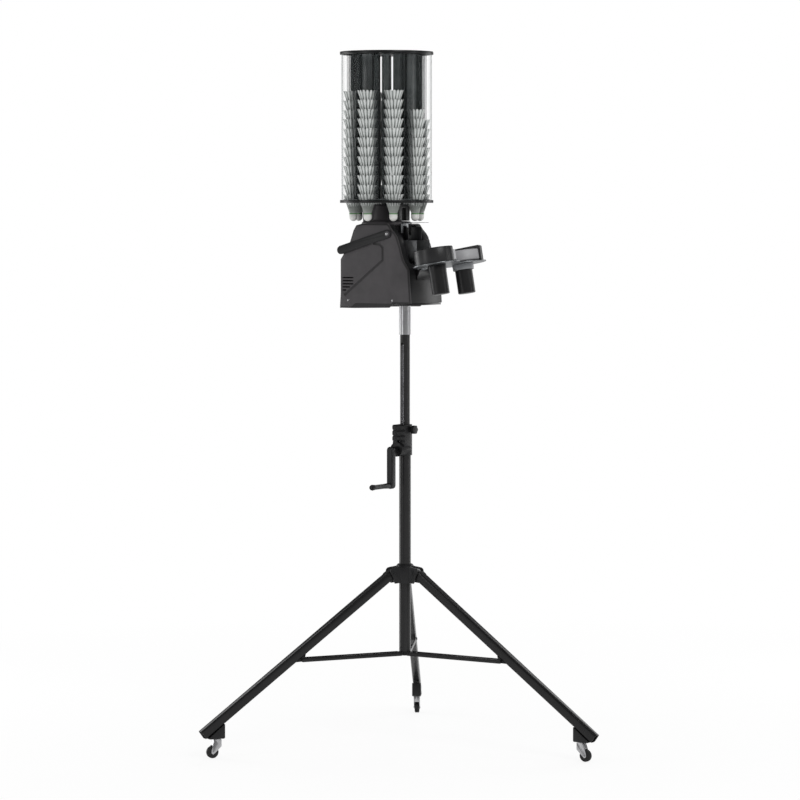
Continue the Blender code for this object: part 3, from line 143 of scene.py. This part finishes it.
def noise(tree, scale, detail, stretch=(1, 1, 1)):
    """Noise in the object's own coordinates, in metres."""
    place = tree.nodes.new("ShaderNodeTexCoord")
    mapping = tree.nodes.new("ShaderNodeMapping")
    mapping.inputs["Scale"].default_value = stretch
    made = tree.nodes.new("ShaderNodeTexNoise")
    made.inputs["Scale"].default_value = scale
    made.inputs["Detail"].default_value = detail
    tree.links.new(place.outputs["Object"], mapping.inputs["Vector"])
    tree.links.new(mapping.outputs["Vector"], made.inputs["Vector"])
    return made.outputs["Fac"]


def ramp(tree, source, low, high, start=0.3, end=0.7):
    """From low to high while the source goes from start to end, which by default fit noise."""
    made = tree.nodes.new("ShaderNodeMapRange")
    made.inputs["From Min"].default_value = start
    made.inputs["From Max"].default_value = end
    made.inputs["To Min"].default_value = low
    made.inputs["To Max"].default_value = high
    tree.links.new(source, made.inputs["Value"])
    return made.outputs["Result"]


def combine(tree, operation, first, second):
    made = tree.nodes.new("ShaderNodeMath")
    made.operation = operation
    tree.links.new(first, made.inputs[0])
    tree.links.new(second, made.inputs[1])
    return made.outputs["Value"]


def mottle(tree, shader, source, low, high):
    """A base colour that goes from low to high with the noise."""
    made = tree.nodes.new("ShaderNodeMix")
    made.data_type = "RGBA"
    made.inputs["A"].default_value = (*low, 1)
    made.inputs["B"].default_value = (*high, 1)
    tree.links.new(ramp(tree, source, 0.0, 1.0), made.inputs["Factor"])
    tree.links.new(made.outputs["Result"], shader.inputs["Base Color"])


def bump(tree, shader, source, strength, distance):
    made = tree.nodes.new("ShaderNodeBump")
    made.inputs["Strength"].default_value = strength
    made.inputs["Distance"].default_value = distance
    tree.links.new(source, made.inputs["Height"])
    tree.links.new(made.outputs["Normal"], shader.inputs["Normal"])


def coat_of(name, low, high, rough, spread, grain, depth, metallic=0.0, stretch=(1, 1, 1), specular=0.5):
    """A finish with a fine grain in its bump and roughness, and a slow variation in its colour."""
    made, tree, shader = shader_tree(name)
    slow = noise(tree, scale=22.0, detail=4.0)
    fine = noise(tree, scale=grain, detail=2.0, stretch=stretch)
    mottle(tree, shader, slow, low, high)
    tree.links.new(ramp(tree, fine, rough - spread, rough + spread), shader.inputs["Roughness"])
    bump(tree, shader, fine, strength=0.16, distance=depth)
    shader.inputs["Metallic"].default_value = metallic
    shader.inputs["Specular IOR Level"].default_value = specular
    return made


def painted_edge_highlight(made, colour, reach, strength, fade=0.12, flat=0.5):
    """Painted highlight: lighter edges where a surface turns sharply, which is where its pointiness is
    above flat.
    """
    tree = made.node_tree
    shader = tree.nodes["Principled BSDF"]
    geometry = tree.nodes.new("ShaderNodeNewGeometry")
    edge = ramp(tree, geometry.outputs["Pointiness"], 0.0, strength, flat + reach, flat + reach + fade)
    source = shader.inputs["Base Color"].links[0].from_socket
    mix = tree.nodes.new("ShaderNodeMix")
    mix.data_type = "RGBA"
    tree.links.new(edge, mix.inputs["Factor"])
    tree.links.new(source, mix.inputs["A"])
    mix.inputs["B"].default_value = (*colour, 1)
    tree.links.new(mix.outputs["Result"], shader.inputs["Base Color"])


def clear_plastic():
    """Clear acrylic: almost unseen from the front, stronger where the wall is seen edge on."""
    made, tree, shader = shader_tree("clear_acrylic")
    shader.inputs["IOR"].default_value = 1.49
    scuff = noise(tree, scale=60.0, detail=5.0, stretch=(1, 1, 0.2))
    mottle(tree, shader, scuff, low=(0.50, 0.55, 0.55), high=(0.60, 0.65, 0.65))
    bump(tree, shader, scuff, strength=0.05, distance=0.00005)
    tree.links.new(ramp(tree, scuff, low=0.10, high=0.18), shader.inputs["Roughness"])
    facing = tree.nodes.new("ShaderNodeLayerWeight")
    facing.inputs["Blend"].default_value = 0.5
    curve = tree.nodes.new("ShaderNodeMath")
    curve.operation = "POWER"
    curve.inputs[1].default_value = 8.0
    tree.links.new(facing.outputs["Facing"], curve.inputs[0])
    alpha = ramp(tree, curve.outputs["Value"], low=0.004, high=0.80, start=0.0, end=1.0)
    tree.links.new(alpha, shader.inputs["Alpha"])
    return made


def smoked_plastic():
    """Smoked clear plastic: one wall dims what is behind it a little, several make it dark."""
    made, tree, shader = shader_tree("smoked_channel")
    streak = noise(tree, scale=90.0, detail=3.0, stretch=(1, 1, 0.02))
    mottle(tree, shader, streak, low=(0.030, 0.036, 0.037), high=(0.085, 0.095, 0.095))
    bump(tree, shader, streak, strength=0.05, distance=0.00005)
    scuff = noise(tree, scale=60.0, detail=4.0)
    tree.links.new(ramp(tree, scuff, low=0.26, high=0.36), shader.inputs["Roughness"])
    facing = tree.nodes.new("ShaderNodeLayerWeight")
    facing.inputs["Blend"].default_value = 0.35
    alpha = ramp(tree, facing.outputs["Facing"], low=0.22, high=0.62, start=0.0, end=1.0)
    tree.links.new(alpha, shader.inputs["Alpha"])
    return made


# Paints and mouldings
BLACK_PAINT = coat_of(
    "black_powder_coat", low=(0.0035, 0.0035, 0.004), high=(0.0065, 0.006, 0.0065),
    rough=0.27, spread=0.04, grain=1400.0, depth=0.00002, specular=0.34,
)
# Painted highlight on the black paint's sharp edges
painted_edge_highlight(BLACK_PAINT, colour=(0.04, 0.04, 0.04), reach=0.06, strength=0.4)
BLACK_PLASTIC = coat_of(
    "black_moulding", low=(0.004, 0.004, 0.0045), high=(0.008, 0.008, 0.009),
    rough=0.42, spread=0.07, grain=2200.0, depth=0.00005, specular=0.34,
)
GREY_SHELL = coat_of(
    "charcoal_shell", low=(0.044, 0.041, 0.044), high=(0.057, 0.053, 0.056),
    rough=0.55, spread=0.08, grain=2600.0, depth=0.00012, specular=0.35,
)
# Painted highlight on the shell's sharp edges
painted_edge_highlight(GREY_SHELL, colour=(0.13, 0.13, 0.14), reach=0.03, strength=0.5)
DISC_BLACK = coat_of(
    "disc_black", low=(0.002, 0.0025, 0.0025), high=(0.004, 0.005, 0.005),
    rough=0.36, spread=0.05, grain=1500.0, depth=0.00002, specular=0.3,
)
GUARD_GREY = coat_of(
    "guard_satin", low=(0.010, 0.010, 0.011), high=(0.016, 0.016, 0.017),
    rough=0.36, spread=0.05, grain=1900.0, depth=0.00003, specular=0.42,
)
MOTOR_BLACK = coat_of(
    "motor_can", low=(0.004, 0.004, 0.004), high=(0.007, 0.007, 0.008),
    rough=0.36, spread=0.05, grain=900.0, depth=0.00002, stretch=(1, 1, 0.05), specular=0.32,
)
FLANGE_GREY = coat_of(
    "flange_grey", low=(0.22, 0.23, 0.24), high=(0.29, 0.30, 0.31),
    rough=0.42, spread=0.06, grain=1200.0, depth=0.00006,
)
# Painted shade for the grooves in the side panels
GROOVE_PAINTED_SHADE = coat_of(
    "groove_shadow", low=(0.012, 0.011, 0.012), high=(0.018, 0.017, 0.018),
    rough=0.6, spread=0.06, grain=2200.0, depth=0.00006,
)

# Metals
TROUGH_GREY = coat_of(
    "trough_metal", low=(0.13, 0.135, 0.14), high=(0.20, 0.205, 0.21),
    rough=0.46, spread=0.10, grain=300.0, depth=0.00002, metallic=0.8, stretch=(1, 0.3, 1),
)
STEEL = coat_of(
    "turned_steel", low=(0.38, 0.38, 0.39), high=(0.48, 0.48, 0.49),
    rough=0.30, spread=0.09, grain=700.0, depth=0.00003, metallic=1.0, stretch=(1, 1, 9),
)
CUT_STEEL = coat_of(
    "cut_steel", low=(0.16, 0.16, 0.17), high=(0.26, 0.26, 0.27),
    rough=0.36, spread=0.10, grain=900.0, depth=0.00005, metallic=1.0,
)
SHEET_METAL = coat_of(
    "brushed_sheet", low=(0.17, 0.18, 0.185), high=(0.26, 0.27, 0.28),
    rough=0.40, spread=0.09, grain=420.0, depth=0.00002, metallic=1.0, stretch=(0.05, 1, 1),
)
ZINC = coat_of(
    "zinc_screw", low=(0.42, 0.42, 0.43), high=(0.58, 0.58, 0.59),
    rough=0.28, spread=0.08, grain=1500.0, depth=0.00004, metallic=1.0,
)

# Wheels
WHEEL_FACE = coat_of(
    "wheel_polyurethane", low=(0.27, 0.27, 0.28), high=(0.36, 0.36, 0.37),
    rough=0.48, spread=0.06, grain=1500.0, depth=0.0001,
)
RUBBER = coat_of(
    "tyre_rubber", low=(0.009, 0.009, 0.009), high=(0.016, 0.016, 0.016),
    rough=0.62, spread=0.08, grain=1600.0, depth=0.0002, specular=0.35,
)

# The magazine's plastics
CLEAR = clear_plastic()
CHANNEL = smoked_plastic()
CHANNEL_BACK = coat_of(
    "dark_channel", low=(0.040, 0.047, 0.048), high=(0.075, 0.083, 0.083),
    rough=0.36, spread=0.04, grain=60.0, depth=0.00002, stretch=(1, 1, 0.02), specular=0.4,
)

# Shuttles
FEATHER = coat_of(
    "nylon_feather", low=(0.50, 0.52, 0.51), high=(0.66, 0.68, 0.67),
    rough=0.62, spread=0.08, grain=3000.0, depth=0.0002, stretch=(1, 1, 0.15),
)
# Painted shade for the feathers' tucked edges and inner faces, and for the inside of the lowest shuttle
FEATHER_PAINTED_SHADE = coat_of(
    "feather_painted_shade", low=(0.24, 0.26, 0.25), high=(0.32, 0.34, 0.33),
    rough=0.7, spread=0.08, grain=2400.0, depth=0.0001,
)
STEM = coat_of(
    "nylon_stem", low=(0.26, 0.28, 0.26), high=(0.36, 0.38, 0.36),
    rough=0.5, spread=0.08, grain=2400.0, depth=0.0001,
)
CORK = coat_of(
    "kid_cork", low=(0.58, 0.58, 0.56), high=(0.70, 0.70, 0.68),
    rough=0.55, spread=0.06, grain=1800.0, depth=0.0001,
)
BAND = coat_of(
    "green_band", low=(0.025, 0.16, 0.02), high=(0.04, 0.22, 0.03),
    rough=0.5, spread=0.05, grain=1800.0, depth=0.00005,
)
SHUTTLE_SKINS = (FEATHER, CORK, BAND, FEATHER_PAINTED_SHADE, STEM)
AT_FEATHER, AT_CORK, AT_BAND, AT_PAINTED_SHADE, AT_STEM = range(len(SHUTTLE_SKINS))

FINISH = {
    "lower_pole": BLACK_PAINT,
    "mast_tube": BLACK_PAINT,
    "base_plate": BLACK_PAINT,
    "pole_plug": BLACK_PLASTIC,
    "leg_hub": BLACK_PLASTIC,
    "crank_housing": BLACK_PLASTIC,
    "crank_arm": BLACK_PLASTIC,
    "crank_grip": BLACK_PLASTIC,
    "lock_knob": BLACK_PLASTIC,
    "drive_gear": CUT_STEEL,
    "mast_rack": CUT_STEEL,
    "top_sleeve": STEEL,
    "side_panel_left": GREY_SHELL,
    "side_panel_right": GREY_SHELL,
    "rear_cover": GREY_SHELL,
    "top_cover": GREY_SHELL,
    "front_frame": BLACK_PLASTIC,
    "claw_guide": BLACK_PLASTIC,
    "drop_chute": BLACK_PLASTIC,
    "guide_trough": TROUGH_GREY,
    "tilt_bracket": BLACK_PLASTIC,
    "carry_handle": BLACK_PLASTIC,
    "power_switch": BLACK_PLASTIC,
    "claw_carriage": SHEET_METAL,
    "claw_jaw_left": CUT_STEEL,
    "claw_jaw_right": CUT_STEEL,
    "magazine_base": DISC_BLACK,
    "magazine_top": DISC_BLACK,
    "magazine_cylinder": CLEAR,
    "magazine_channels": CHANNEL_BACK,
    "launcher_plate": SHEET_METAL,
    "wheel_guard_left": GUARD_GREY,
    "wheel_guard_right": GUARD_GREY,
    "launch_wheel_left": WHEEL_FACE,
    "launch_wheel_right": WHEEL_FACE,
    "launch_motor_left": MOTOR_BLACK,
    "launch_motor_right": MOTOR_BLACK,
}
for end in ("front", "left", "right"):
    FINISH[f"leg_tube_{end}"] = BLACK_PAINT
    FINISH[f"strut_{end}"] = BLACK_PAINT
    FINISH[f"foot_block_{end}"] = BLACK_PLASTIC
    FINISH[f"caster_fork_{end}"] = ZINC
    FINISH[f"caster_wheel_{end}"] = RUBBER

# Plain tubes, whose edges stay as modelled
NOT_EASED = {"magazine_cylinder", "lower_pole", "mast_tube", "top_sleeve"}


def dress(name, made):
    """A CAD piece's finish: welded, its edges eased a little, and shaded smooth over its facets."""
    obj = NODES[name]
    obj.data.materials.clear()
    obj.data.materials.append(made)
    for face in obj.data.polygons:
        face.use_smooth = True
        face.material_index = 0
    with bpy.context.temp_override(object=obj, active_object=obj, mesh=obj.data):
        bpy.ops.mesh.customdata_custom_splitnormals_clear()
    weld = obj.modifiers.new("weld", "WELD")
    weld.merge_threshold = WELD_REACH
    if name not in NOT_EASED:
        ease = obj.modifiers.new("eased_edges", "BEVEL")
        ease.width = EASE_WIDTH
        ease.segments = 2
        ease.limit_method = "ANGLE"
        ease.angle_limit = EASE_ANGLE
        ease.use_clamp_overlap = True
    split = obj.modifiers.new("crease", "EDGE_SPLIT")
    split.split_angle = CREASE_ANGLE
    split.use_edge_sharp = False


for node in NODES:
    if not node.startswith("shuttle_stack"):
        dress(node, FINISH[node])


def two_tone(name, made, chosen):
    """A second finish on the faces that the test picks."""
    obj = NODES[name]
    obj.data.materials.append(made)
    for face in obj.data.polygons:
        if chosen(face.center):
            face.material_index = len(obj.data.materials) - 1


def column_at(n):
    """The direction of a magazine's column from the axis, and its centre."""
    angle = math.tau * n / len(STACKS)
    return angle, MAG_X + MAG_PITCH_R * math.cos(angle), MAG_PITCH_R * math.sin(angle)


# The clear part of each channel: its wall's radii, its foot, and how far it wraps each way round its column
CHANNEL_IN_R = 0.0336
CHANNEL_OUT_R = 0.038
CHANNEL_FOOT_Z = 1.73
CHANNEL_WRAP = math.radians(112)


def wraps_in_front(point):
    if point.z <= CHANNEL_FOOT_Z:
        return False
    for n in range(len(STACKS)):
        angle, x, y = column_at(n)
        off = Vector((point.x - x, point.y - y))
        if CHANNEL_IN_R < off.length < CHANNEL_OUT_R:
            out = Vector((math.cos(angle), math.sin(angle)))
            return off.normalized().dot(out) > math.cos(CHANNEL_WRAP)
    return False


two_tone("magazine_channels", CHANNEL, wraps_in_front)

# The side panels: how far out the faces of their grooves lie, and the panels' outer face
GROOVE_IN_Y = 0.0896
GROOVE_OUT_Y = 0.0909
PANEL_FACE_Y = 0.0912


def in_groove(point):
    return GROOVE_IN_Y < abs(point.y) < GROOVE_OUT_Y


# Painted shade on the groove faces of each side panel
for _, word in SIDES:
    two_tone(f"side_panel_{word}", GROOVE_PAINTED_SHADE, in_groove)

# The launcher's deck, tilted about its hinge, with the motors' flanges just below it
TILT = math.radians(10)
DECK_X, _, DECK_Z = joint_at("launcher_tilt")
FLANGE_BOTTOM = -0.020


def is_flange(point):
    above = (point.x - DECK_X) * -math.sin(TILT) + (point.z - DECK_Z) * math.cos(TILT)
    return above > FLANGE_BOTTOM


two_tone("launch_motor_left", FLANGE_GREY, is_flange)


def new_piece(name, bm, skins, body):
    bmesh.ops.recalc_face_normals(bm, faces=bm.faces)
    mesh = bpy.data.meshes.new(name)
    bm.to_mesh(mesh)
    bm.free()
    for skin in skins:
        mesh.materials.append(skin)
    mesh.shade_smooth()
    mesh.set_sharp_from_angle(angle=SHARP_ANGLE)
    made = bpy.data.objects.new(name, mesh)
    bpy.context.scene.collection.objects.link(made)
    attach(made, body)
    return made


def around(centre, r, angle, height):
    """A point at a radius, an angle and a height from a centre."""
    x, y, z = centre
    return x + r * math.cos(angle), y + r * math.sin(angle), z + height


def add_face(bm, corners, skin):
    bm.faces.new(corners).material_index = skin


def revolve(bm, profile, centre, skin):
    """A closed turned form about a vertical axis, its profile starting and ending on that axis."""
    rings = []
    for r, height in profile:
        count = 1 if r < ON_AXIS else TURNED_STEPS
        spots = [around(centre, r, math.tau * i / TURNED_STEPS, height) for i in range(count)]
        rings.append([bm.verts.new(spot) for spot in spots])
    for low, high in zip(rings, rings[1:]):
        for i in range(TURNED_STEPS):
            j = (i + 1) % TURNED_STEPS
            corners = (low[i % len(low)], low[j % len(low)], high[j % len(high)], high[i % len(high)])
            add_face(bm, list(dict.fromkeys(corners)), skin)


def skirt_radius(height):
    return SKIRT_FOOT_R + (SKIRT_RIM_R - SKIRT_FOOT_R) * (height - CORK_H) / (SHUTTLE_H - CORK_H)


def cork(bm, centre):
    """The cork with its round nose, and the green band round its top."""
    bends = [math.pi / 2 * i / NOSE_STEPS for i in range(NOSE_STEPS + 1)]
    nose = [(CORK_R * math.sin(bend), CORK_R - CORK_R * math.cos(bend)) for bend in bends]
    top = [(CORK_R, CORK_H - CORK_CHAMFER), (CORK_R - CORK_CHAMFER, CORK_H), (0, CORK_H)]
    revolve(bm, nose + top, centre, AT_CORK)
    band = [(0, BAND_LOW), (BAND_R, BAND_LOW), (BAND_R, BAND_HIGH), (0, BAND_HIGH)]
    revolve(bm, band, centre, AT_BAND)


def vane(bm, centre, angle, bottom):
    """One feather: a blade bowed outwards, narrow below and round at the tip, with painted shade at its
    edges and inside.
    """
    rows = []
    for share, width, cut in VANE_ROWS:
        row = []
        for depth in (0.0, VANE_THICK):
            for side in VANE_SIDES:
                height = bottom + (SHUTTLE_H - bottom) * share - TIP_CUT * cut * side * side
                r = skirt_radius(height) - depth - VANE_BOW * side * side * width
                spot = around(centre, r, angle + side * width * math.pi / VANES, height)
                row.append(bm.verts.new(spot))
        rows.append(row)
    across = len(VANE_SIDES)
    loop = [*range(across), *reversed(range(across, 2 * across))]
    for low, high in zip(rows, rows[1:]):
        for k, a in enumerate(loop):
            b = loop[(k + 1) % len(loop)]
            skin = AT_FEATHER if k in VANE_OUTER_MIDDLE else AT_PAINTED_SHADE
            add_face(bm, (low[a], low[b], high[b], high[a]), skin)
    for row in (rows[0], rows[-1]):
        for k in range(across - 1):
            add_face(bm, (row[k], row[k + 1], row[k + 1 + across], row[k + across]), AT_FEATHER)


def quill(bm, centre, angle, top):
    """A feather's stem, tapering upwards."""
    ends = []
    for height, thick in ((QUILL_FOOT, QUILL_FOOT_THICK), (top, QUILL_TOP_THICK)):
        r = skirt_radius(height) - QUILL_INSET
        ends.append([])
        for out, aside in QUILL_SECTION:
            spot = around(centre, r + thick * out, angle + thick * aside / r, height)
            ends[-1].append(bm.verts.new(spot))
    for k in range(len(QUILL_SECTION)):
        j = (k + 1) % len(QUILL_SECTION)
        add_face(bm, (ends[0][k], ends[0][j], ends[1][j], ends[1][k]), AT_STEM)
    for end in ends:
        add_face(bm, end, AT_STEM)


def thread_ring(bm, centre, height):
    """A cross thread that ties the stems together, drawn in between them."""
    ring = []
    for i in range(THREAD_STEPS):
        r = skirt_radius(height) - THREAD_PULL * (i % 2)
        angle = math.tau * i / THREAD_STEPS
        spots = [around(centre, r + out, angle, height + up) for out, up in THREAD_SECTION]
        ring.append([bm.verts.new(spot) for spot in spots])
    for i in range(THREAD_STEPS):
        j = (i + 1) % THREAD_STEPS
        for k in range(len(THREAD_SECTION)):
            m = (k + 1) % len(THREAD_SECTION)
            add_face(bm, (ring[i][k], ring[j][k], ring[j][m], ring[i][m]), AT_STEM)


def painted_shade_cone(bm, centre):
    """Painted shade: a dark cone inside the lowest shuttle, behind its stems, for the shadow of the
    magazine's disc.
    """
    low_r = skirt_radius(SHADE_CONE_LOW) - SHADE_CONE_LOW_INSET
    high_r = skirt_radius(SHADE_CONE_HIGH) - SHADE_CONE_HIGH_INSET
    profile = [(0, SHADE_CONE_LOW), (low_r, SHADE_CONE_LOW), (high_r, SHADE_CONE_HIGH), (0, SHADE_CONE_HIGH)]
    revolve(bm, profile, centre, AT_PAINTED_SHADE)


def shuttles(n, count):
    """A column of nested shuttles: the lowest and the highest whole, the rest from where they show."""
    _, x, y = column_at(n)
    bm = bmesh.new()
    for k in range(count):
        centre = (x, y, LOWEST_NOSE_Z + k * NEST_PITCH)
        turn = NEST_TWIST * k + COLUMN_TWIST * n
        whole = k in (0, count - 1)
        if whole:
            cork(bm, centre)
        for i in range(VANES):
            angle = turn + math.tau * i / VANES
            vane(bm, centre, angle, VANE_FOOT if k == 0 else NESTED_VANE_FOOT)
            if whole:
                quill(bm, centre, angle, QUILL_TOP)
                quill(bm, centre, angle + math.pi / VANES, QUILL_TOP_BETWEEN)
        if k == 0:
            for thread in range(THREADS):
                thread_ring(bm, centre, THREAD_LOW + THREAD_PITCH * thread)
            painted_shade_cone(bm, centre)
    made = new_piece(f"shuttles_{n}", bm, SHUTTLE_SKINS, "magazine")
    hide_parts(f"shuttle_stack_{n}")


for column, loaded in enumerate(STACKS):
    shuttles(column, loaded)

# Screws: a pan head with a round recess, each point a share of the radius and a height above its seat
SCREW_PROFILE = (
    (0, -0.0004),
    (1, -0.0004),
    (1, 0.0004),
    (0.85, 0.0010),
    (0.45, 0.0013),
    (0.3, 0.0006),
    (0, 0.0004),
)
PANEL_SCREW_R = 0.0032
PANEL_SCREWS = ((-0.1545, 1.4030), (0.0120, 1.4035))
HANDLE_SCREW_R = 0.0042


def screw(name, at, side, radius):
    """A screw in the head's right (-1) or left (1) side."""
    bm = bmesh.new()
    revolve(bm, [(radius * share, height) for share, height in SCREW_PROFILE], (0, 0, 0), 0)
    turn = Vector((0, 0, 1)).rotation_difference(Vector((0, side, 0))).to_matrix().to_4x4()
    bmesh.ops.transform(bm, matrix=Matrix.Translation(at) @ turn, verts=bm.verts)
    made = new_piece(name, bm, (ZINC,), "head")


for side, word in SIDES:
    for n, (x, z) in enumerate(PANEL_SCREWS):
        screw(f"panel_screw_{word}_{n}", (POLE_X + x, side * PANEL_FACE_Y, z), side, PANEL_SCREW_R)

hinge_x, _, hinge_z = joint_at("handle_lift")
for side, word in SIDES:
    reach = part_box(f"side_panel_{word}")[0 if side < 0 else 1][1]
    screw(f"handle_screw_{word}", (hinge_x, reach, hinge_z), side, HANDLE_SCREW_R)


def plate(name, outline, depth, skin, bevel=0.0):
    """A plate of the head between two Y values, its outline given as X from the pole and Z."""
    bm = bmesh.new()
    ends = [[bm.verts.new((POLE_X + x, y, z)) for x, z in outline] for y in depth]
    for n in range(len(outline)):
        m = (n + 1) % len(outline)
        bm.faces.new((ends[0][n], ends[0][m], ends[1][m], ends[1][n]))
    for end in ends:
        bm.faces.new(end)
    if bevel:
        bmesh.ops.bevel(bm, geom=bm.edges[:], offset=bevel, segments=2, profile=0.5, affect="EDGES")
    made = new_piece(name, bm, (skin,), "head")


def rectangle(back, front, low, high):
    return [(back, low), (front, low), (front, high), (back, high)]


# The box behind the magazine's column that holds the turntable's drive
HOUSING = rectangle(back=-0.1497, front=-0.040, low=1.6395, high=1.7035)
plate("turntable_housing", HOUSING, (-0.016, 0.020), GREY_SHELL, bevel=0.0025)

# The battery pack, which shows through the vent slots
BATTERY = rectangle(back=-0.1725, front=-0.0620, low=1.4305, high=1.5050)
plate("battery_pack", BATTERY, (-0.070, 0.070), BLACK_PLASTIC, bevel=0.003)

# A gloss-black strip laid on the foot of each side panel for the notch there: partly the black part inside
# that shows through it, partly painted shade of the undercut
STRIP = [(-0.148, 1.3790), (-0.126, 1.3940), (0.0165, 1.3940), (-0.001, 1.3820)]
STRIP_SUNK = 0.0003
STRIP_PROUD = 0.0004
for side, word in SIDES:
    faces = sorted((side * (PANEL_FACE_Y - STRIP_SUNK), side * (PANEL_FACE_Y + STRIP_PROUD)))
    plate(f"foot_notch_shade_{word}", STRIP, faces, BLACK_PAINT)


def from_pole(azimuth, distance, height):
    """A place at an azimuth and a distance from the pole."""
    return POLE_X + math.sin(azimuth) * distance, -math.cos(azimuth) * distance, height


# Camera
camera = bpy.data.objects.new("camera", bpy.data.cameras.new("camera"))
bpy.context.scene.collection.objects.link(camera)
camera.location = from_pole(AZIMUTH, DISTANCE, EYE_Z)
camera.rotation_euler = (math.pi / 2 - PITCH, 0, AZIMUTH)
camera.data.sensor_width = SENSOR_MM
camera.data.lens = LENS_TRIM * SENSOR_MM * DISTANCE / METRES_PER_PIXEL / FRAME_PIXELS
camera.data.shift_x = (FRAME_PIXELS / 2 - POLE_PIXEL) / FRAME_PIXELS
camera.data.clip_end = CLIP_END
bpy.context.scene.camera = camera

# Studio: a white floor, its own light as a share near the machine and far out, and the surroundings' light
FLOOR_HALF = 60.0
FLOOR_DROP = 0.0002
FLOOR_WHITE = 0.9
GLOW_NEAR = 0.84
GLOW_FAR = 1.0
GLOW_NEAR_REACH = 0.8
GLOW_FAR_REACH = 3.5
SKY_LIGHT = 0.62
SKY_IN_GLOSS = 0.16


def seen_directly(tree):
    """1 for rays from the camera and those that a clear piece sends on, 0 for the rest."""
    rays = tree.nodes.new("ShaderNodeLightPath")
    return combine(tree, "MAXIMUM", rays.outputs["Is Camera Ray"], rays.outputs["Is Transmission Ray"])


def white_floor():
    """White that takes a faint shadow near the machine and none further out."""
    made, tree, shader = shader_tree("studio_floor")
    shader.inputs["Base Color"].default_value = (FLOOR_WHITE, FLOOR_WHITE, FLOOR_WHITE, 1)
    shader.inputs["Roughness"].default_value = 0.9
    shader.inputs["Specular IOR Level"].default_value = 0.0
    glow = tree.nodes.new("ShaderNodeEmission")
    glow.inputs["Color"].default_value = (1, 1, 1, 1)
    place = tree.nodes.new("ShaderNodeTexCoord")
    reach = tree.nodes.new("ShaderNodeVectorMath")
    reach.operation = "LENGTH"
    tree.links.new(place.outputs["Object"], reach.inputs[0])
    share = ramp(tree, reach.outputs["Value"], GLOW_NEAR, GLOW_FAR, GLOW_NEAR_REACH, GLOW_FAR_REACH)
    mix = tree.nodes.new("ShaderNodeMixShader")
    tree.links.new(combine(tree, "MULTIPLY", seen_directly(tree), share), mix.inputs[0])
    tree.links.new(shader.outputs["BSDF"], mix.inputs[1])
    tree.links.new(glow.outputs["Emission"], mix.inputs[2])
    tree.links.new(mix.outputs["Shader"], tree.nodes["Material Output"].inputs["Surface"])
    return made


def white_world():
    """White to the camera, softer as a light, and dim where it would shine in gloss."""
    made = bpy.data.worlds.new("studio")
    made.use_nodes = True
    tree = made.node_tree
    back = tree.nodes["Background"]
    back.inputs["Color"].default_value = (1, 1, 1, 1)
    rays = tree.nodes.new("ShaderNodeLightPath")
    level = ramp(tree, rays.outputs["Is Glossy Ray"], SKY_LIGHT, SKY_IN_GLOSS, start=0.0, end=1.0)
    tree.links.new(combine(tree, "MAXIMUM", level, seen_directly(tree)), back.inputs["Strength"])
    return made


bm = bmesh.new()
bmesh.ops.create_grid(bm, x_segments=1, y_segments=1, size=FLOOR_HALF)
floor_mesh = bpy.data.meshes.new("floor")
bm.to_mesh(floor_mesh)
bm.free()
floor = bpy.data.objects.new("floor", floor_mesh)
floor.location.z = -FLOOR_DROP
bpy.context.scene.collection.objects.link(floor)
floor_mesh.materials.append(white_floor())

bpy.context.scene.world = white_world()

# Lamps: degrees from the camera, height, distance, width, height of the box and watts
AIM_Z = 1.2
LAMPS = {
    "key": (28, 3.6, 3.8, 1.6, 1.6, 56.0),
    "strip_left": (-118, 1.3, 3.0, 1.1, 2.6, 26.0),
    "strip_right": (128, 1.3, 3.0, 0.9, 2.6, 18.0),
    "front_left": (-56, 1.7, 3.2, 0.22, 2.2, 13.0),
    "front_right": (70, 1.7, 3.2, 0.22, 2.2, 9.0),
    "rim": (170, 3.2, 3.6, 1.4, 1.8, 24.0),
}
for name, (azimuth, height, distance, width, tall, watts) in LAMPS.items():
    light = bpy.data.lights.new(name, "AREA")
    light.shape = "RECTANGLE"
    light.size = width
    light.size_y = tall
    light.energy = watts
    lamp = bpy.data.objects.new(name, light)
    lamp.location = from_pole(AZIMUTH + math.radians(azimuth), distance, height)
    aim = Vector((POLE_X, 0, AIM_Z)) - lamp.location
    lamp.rotation_euler = aim.to_track_quat("-Z", "Y").to_euler()
    bpy.context.scene.collection.objects.link(lamp)

bpy.context.scene.view_settings.view_transform = "Standard"
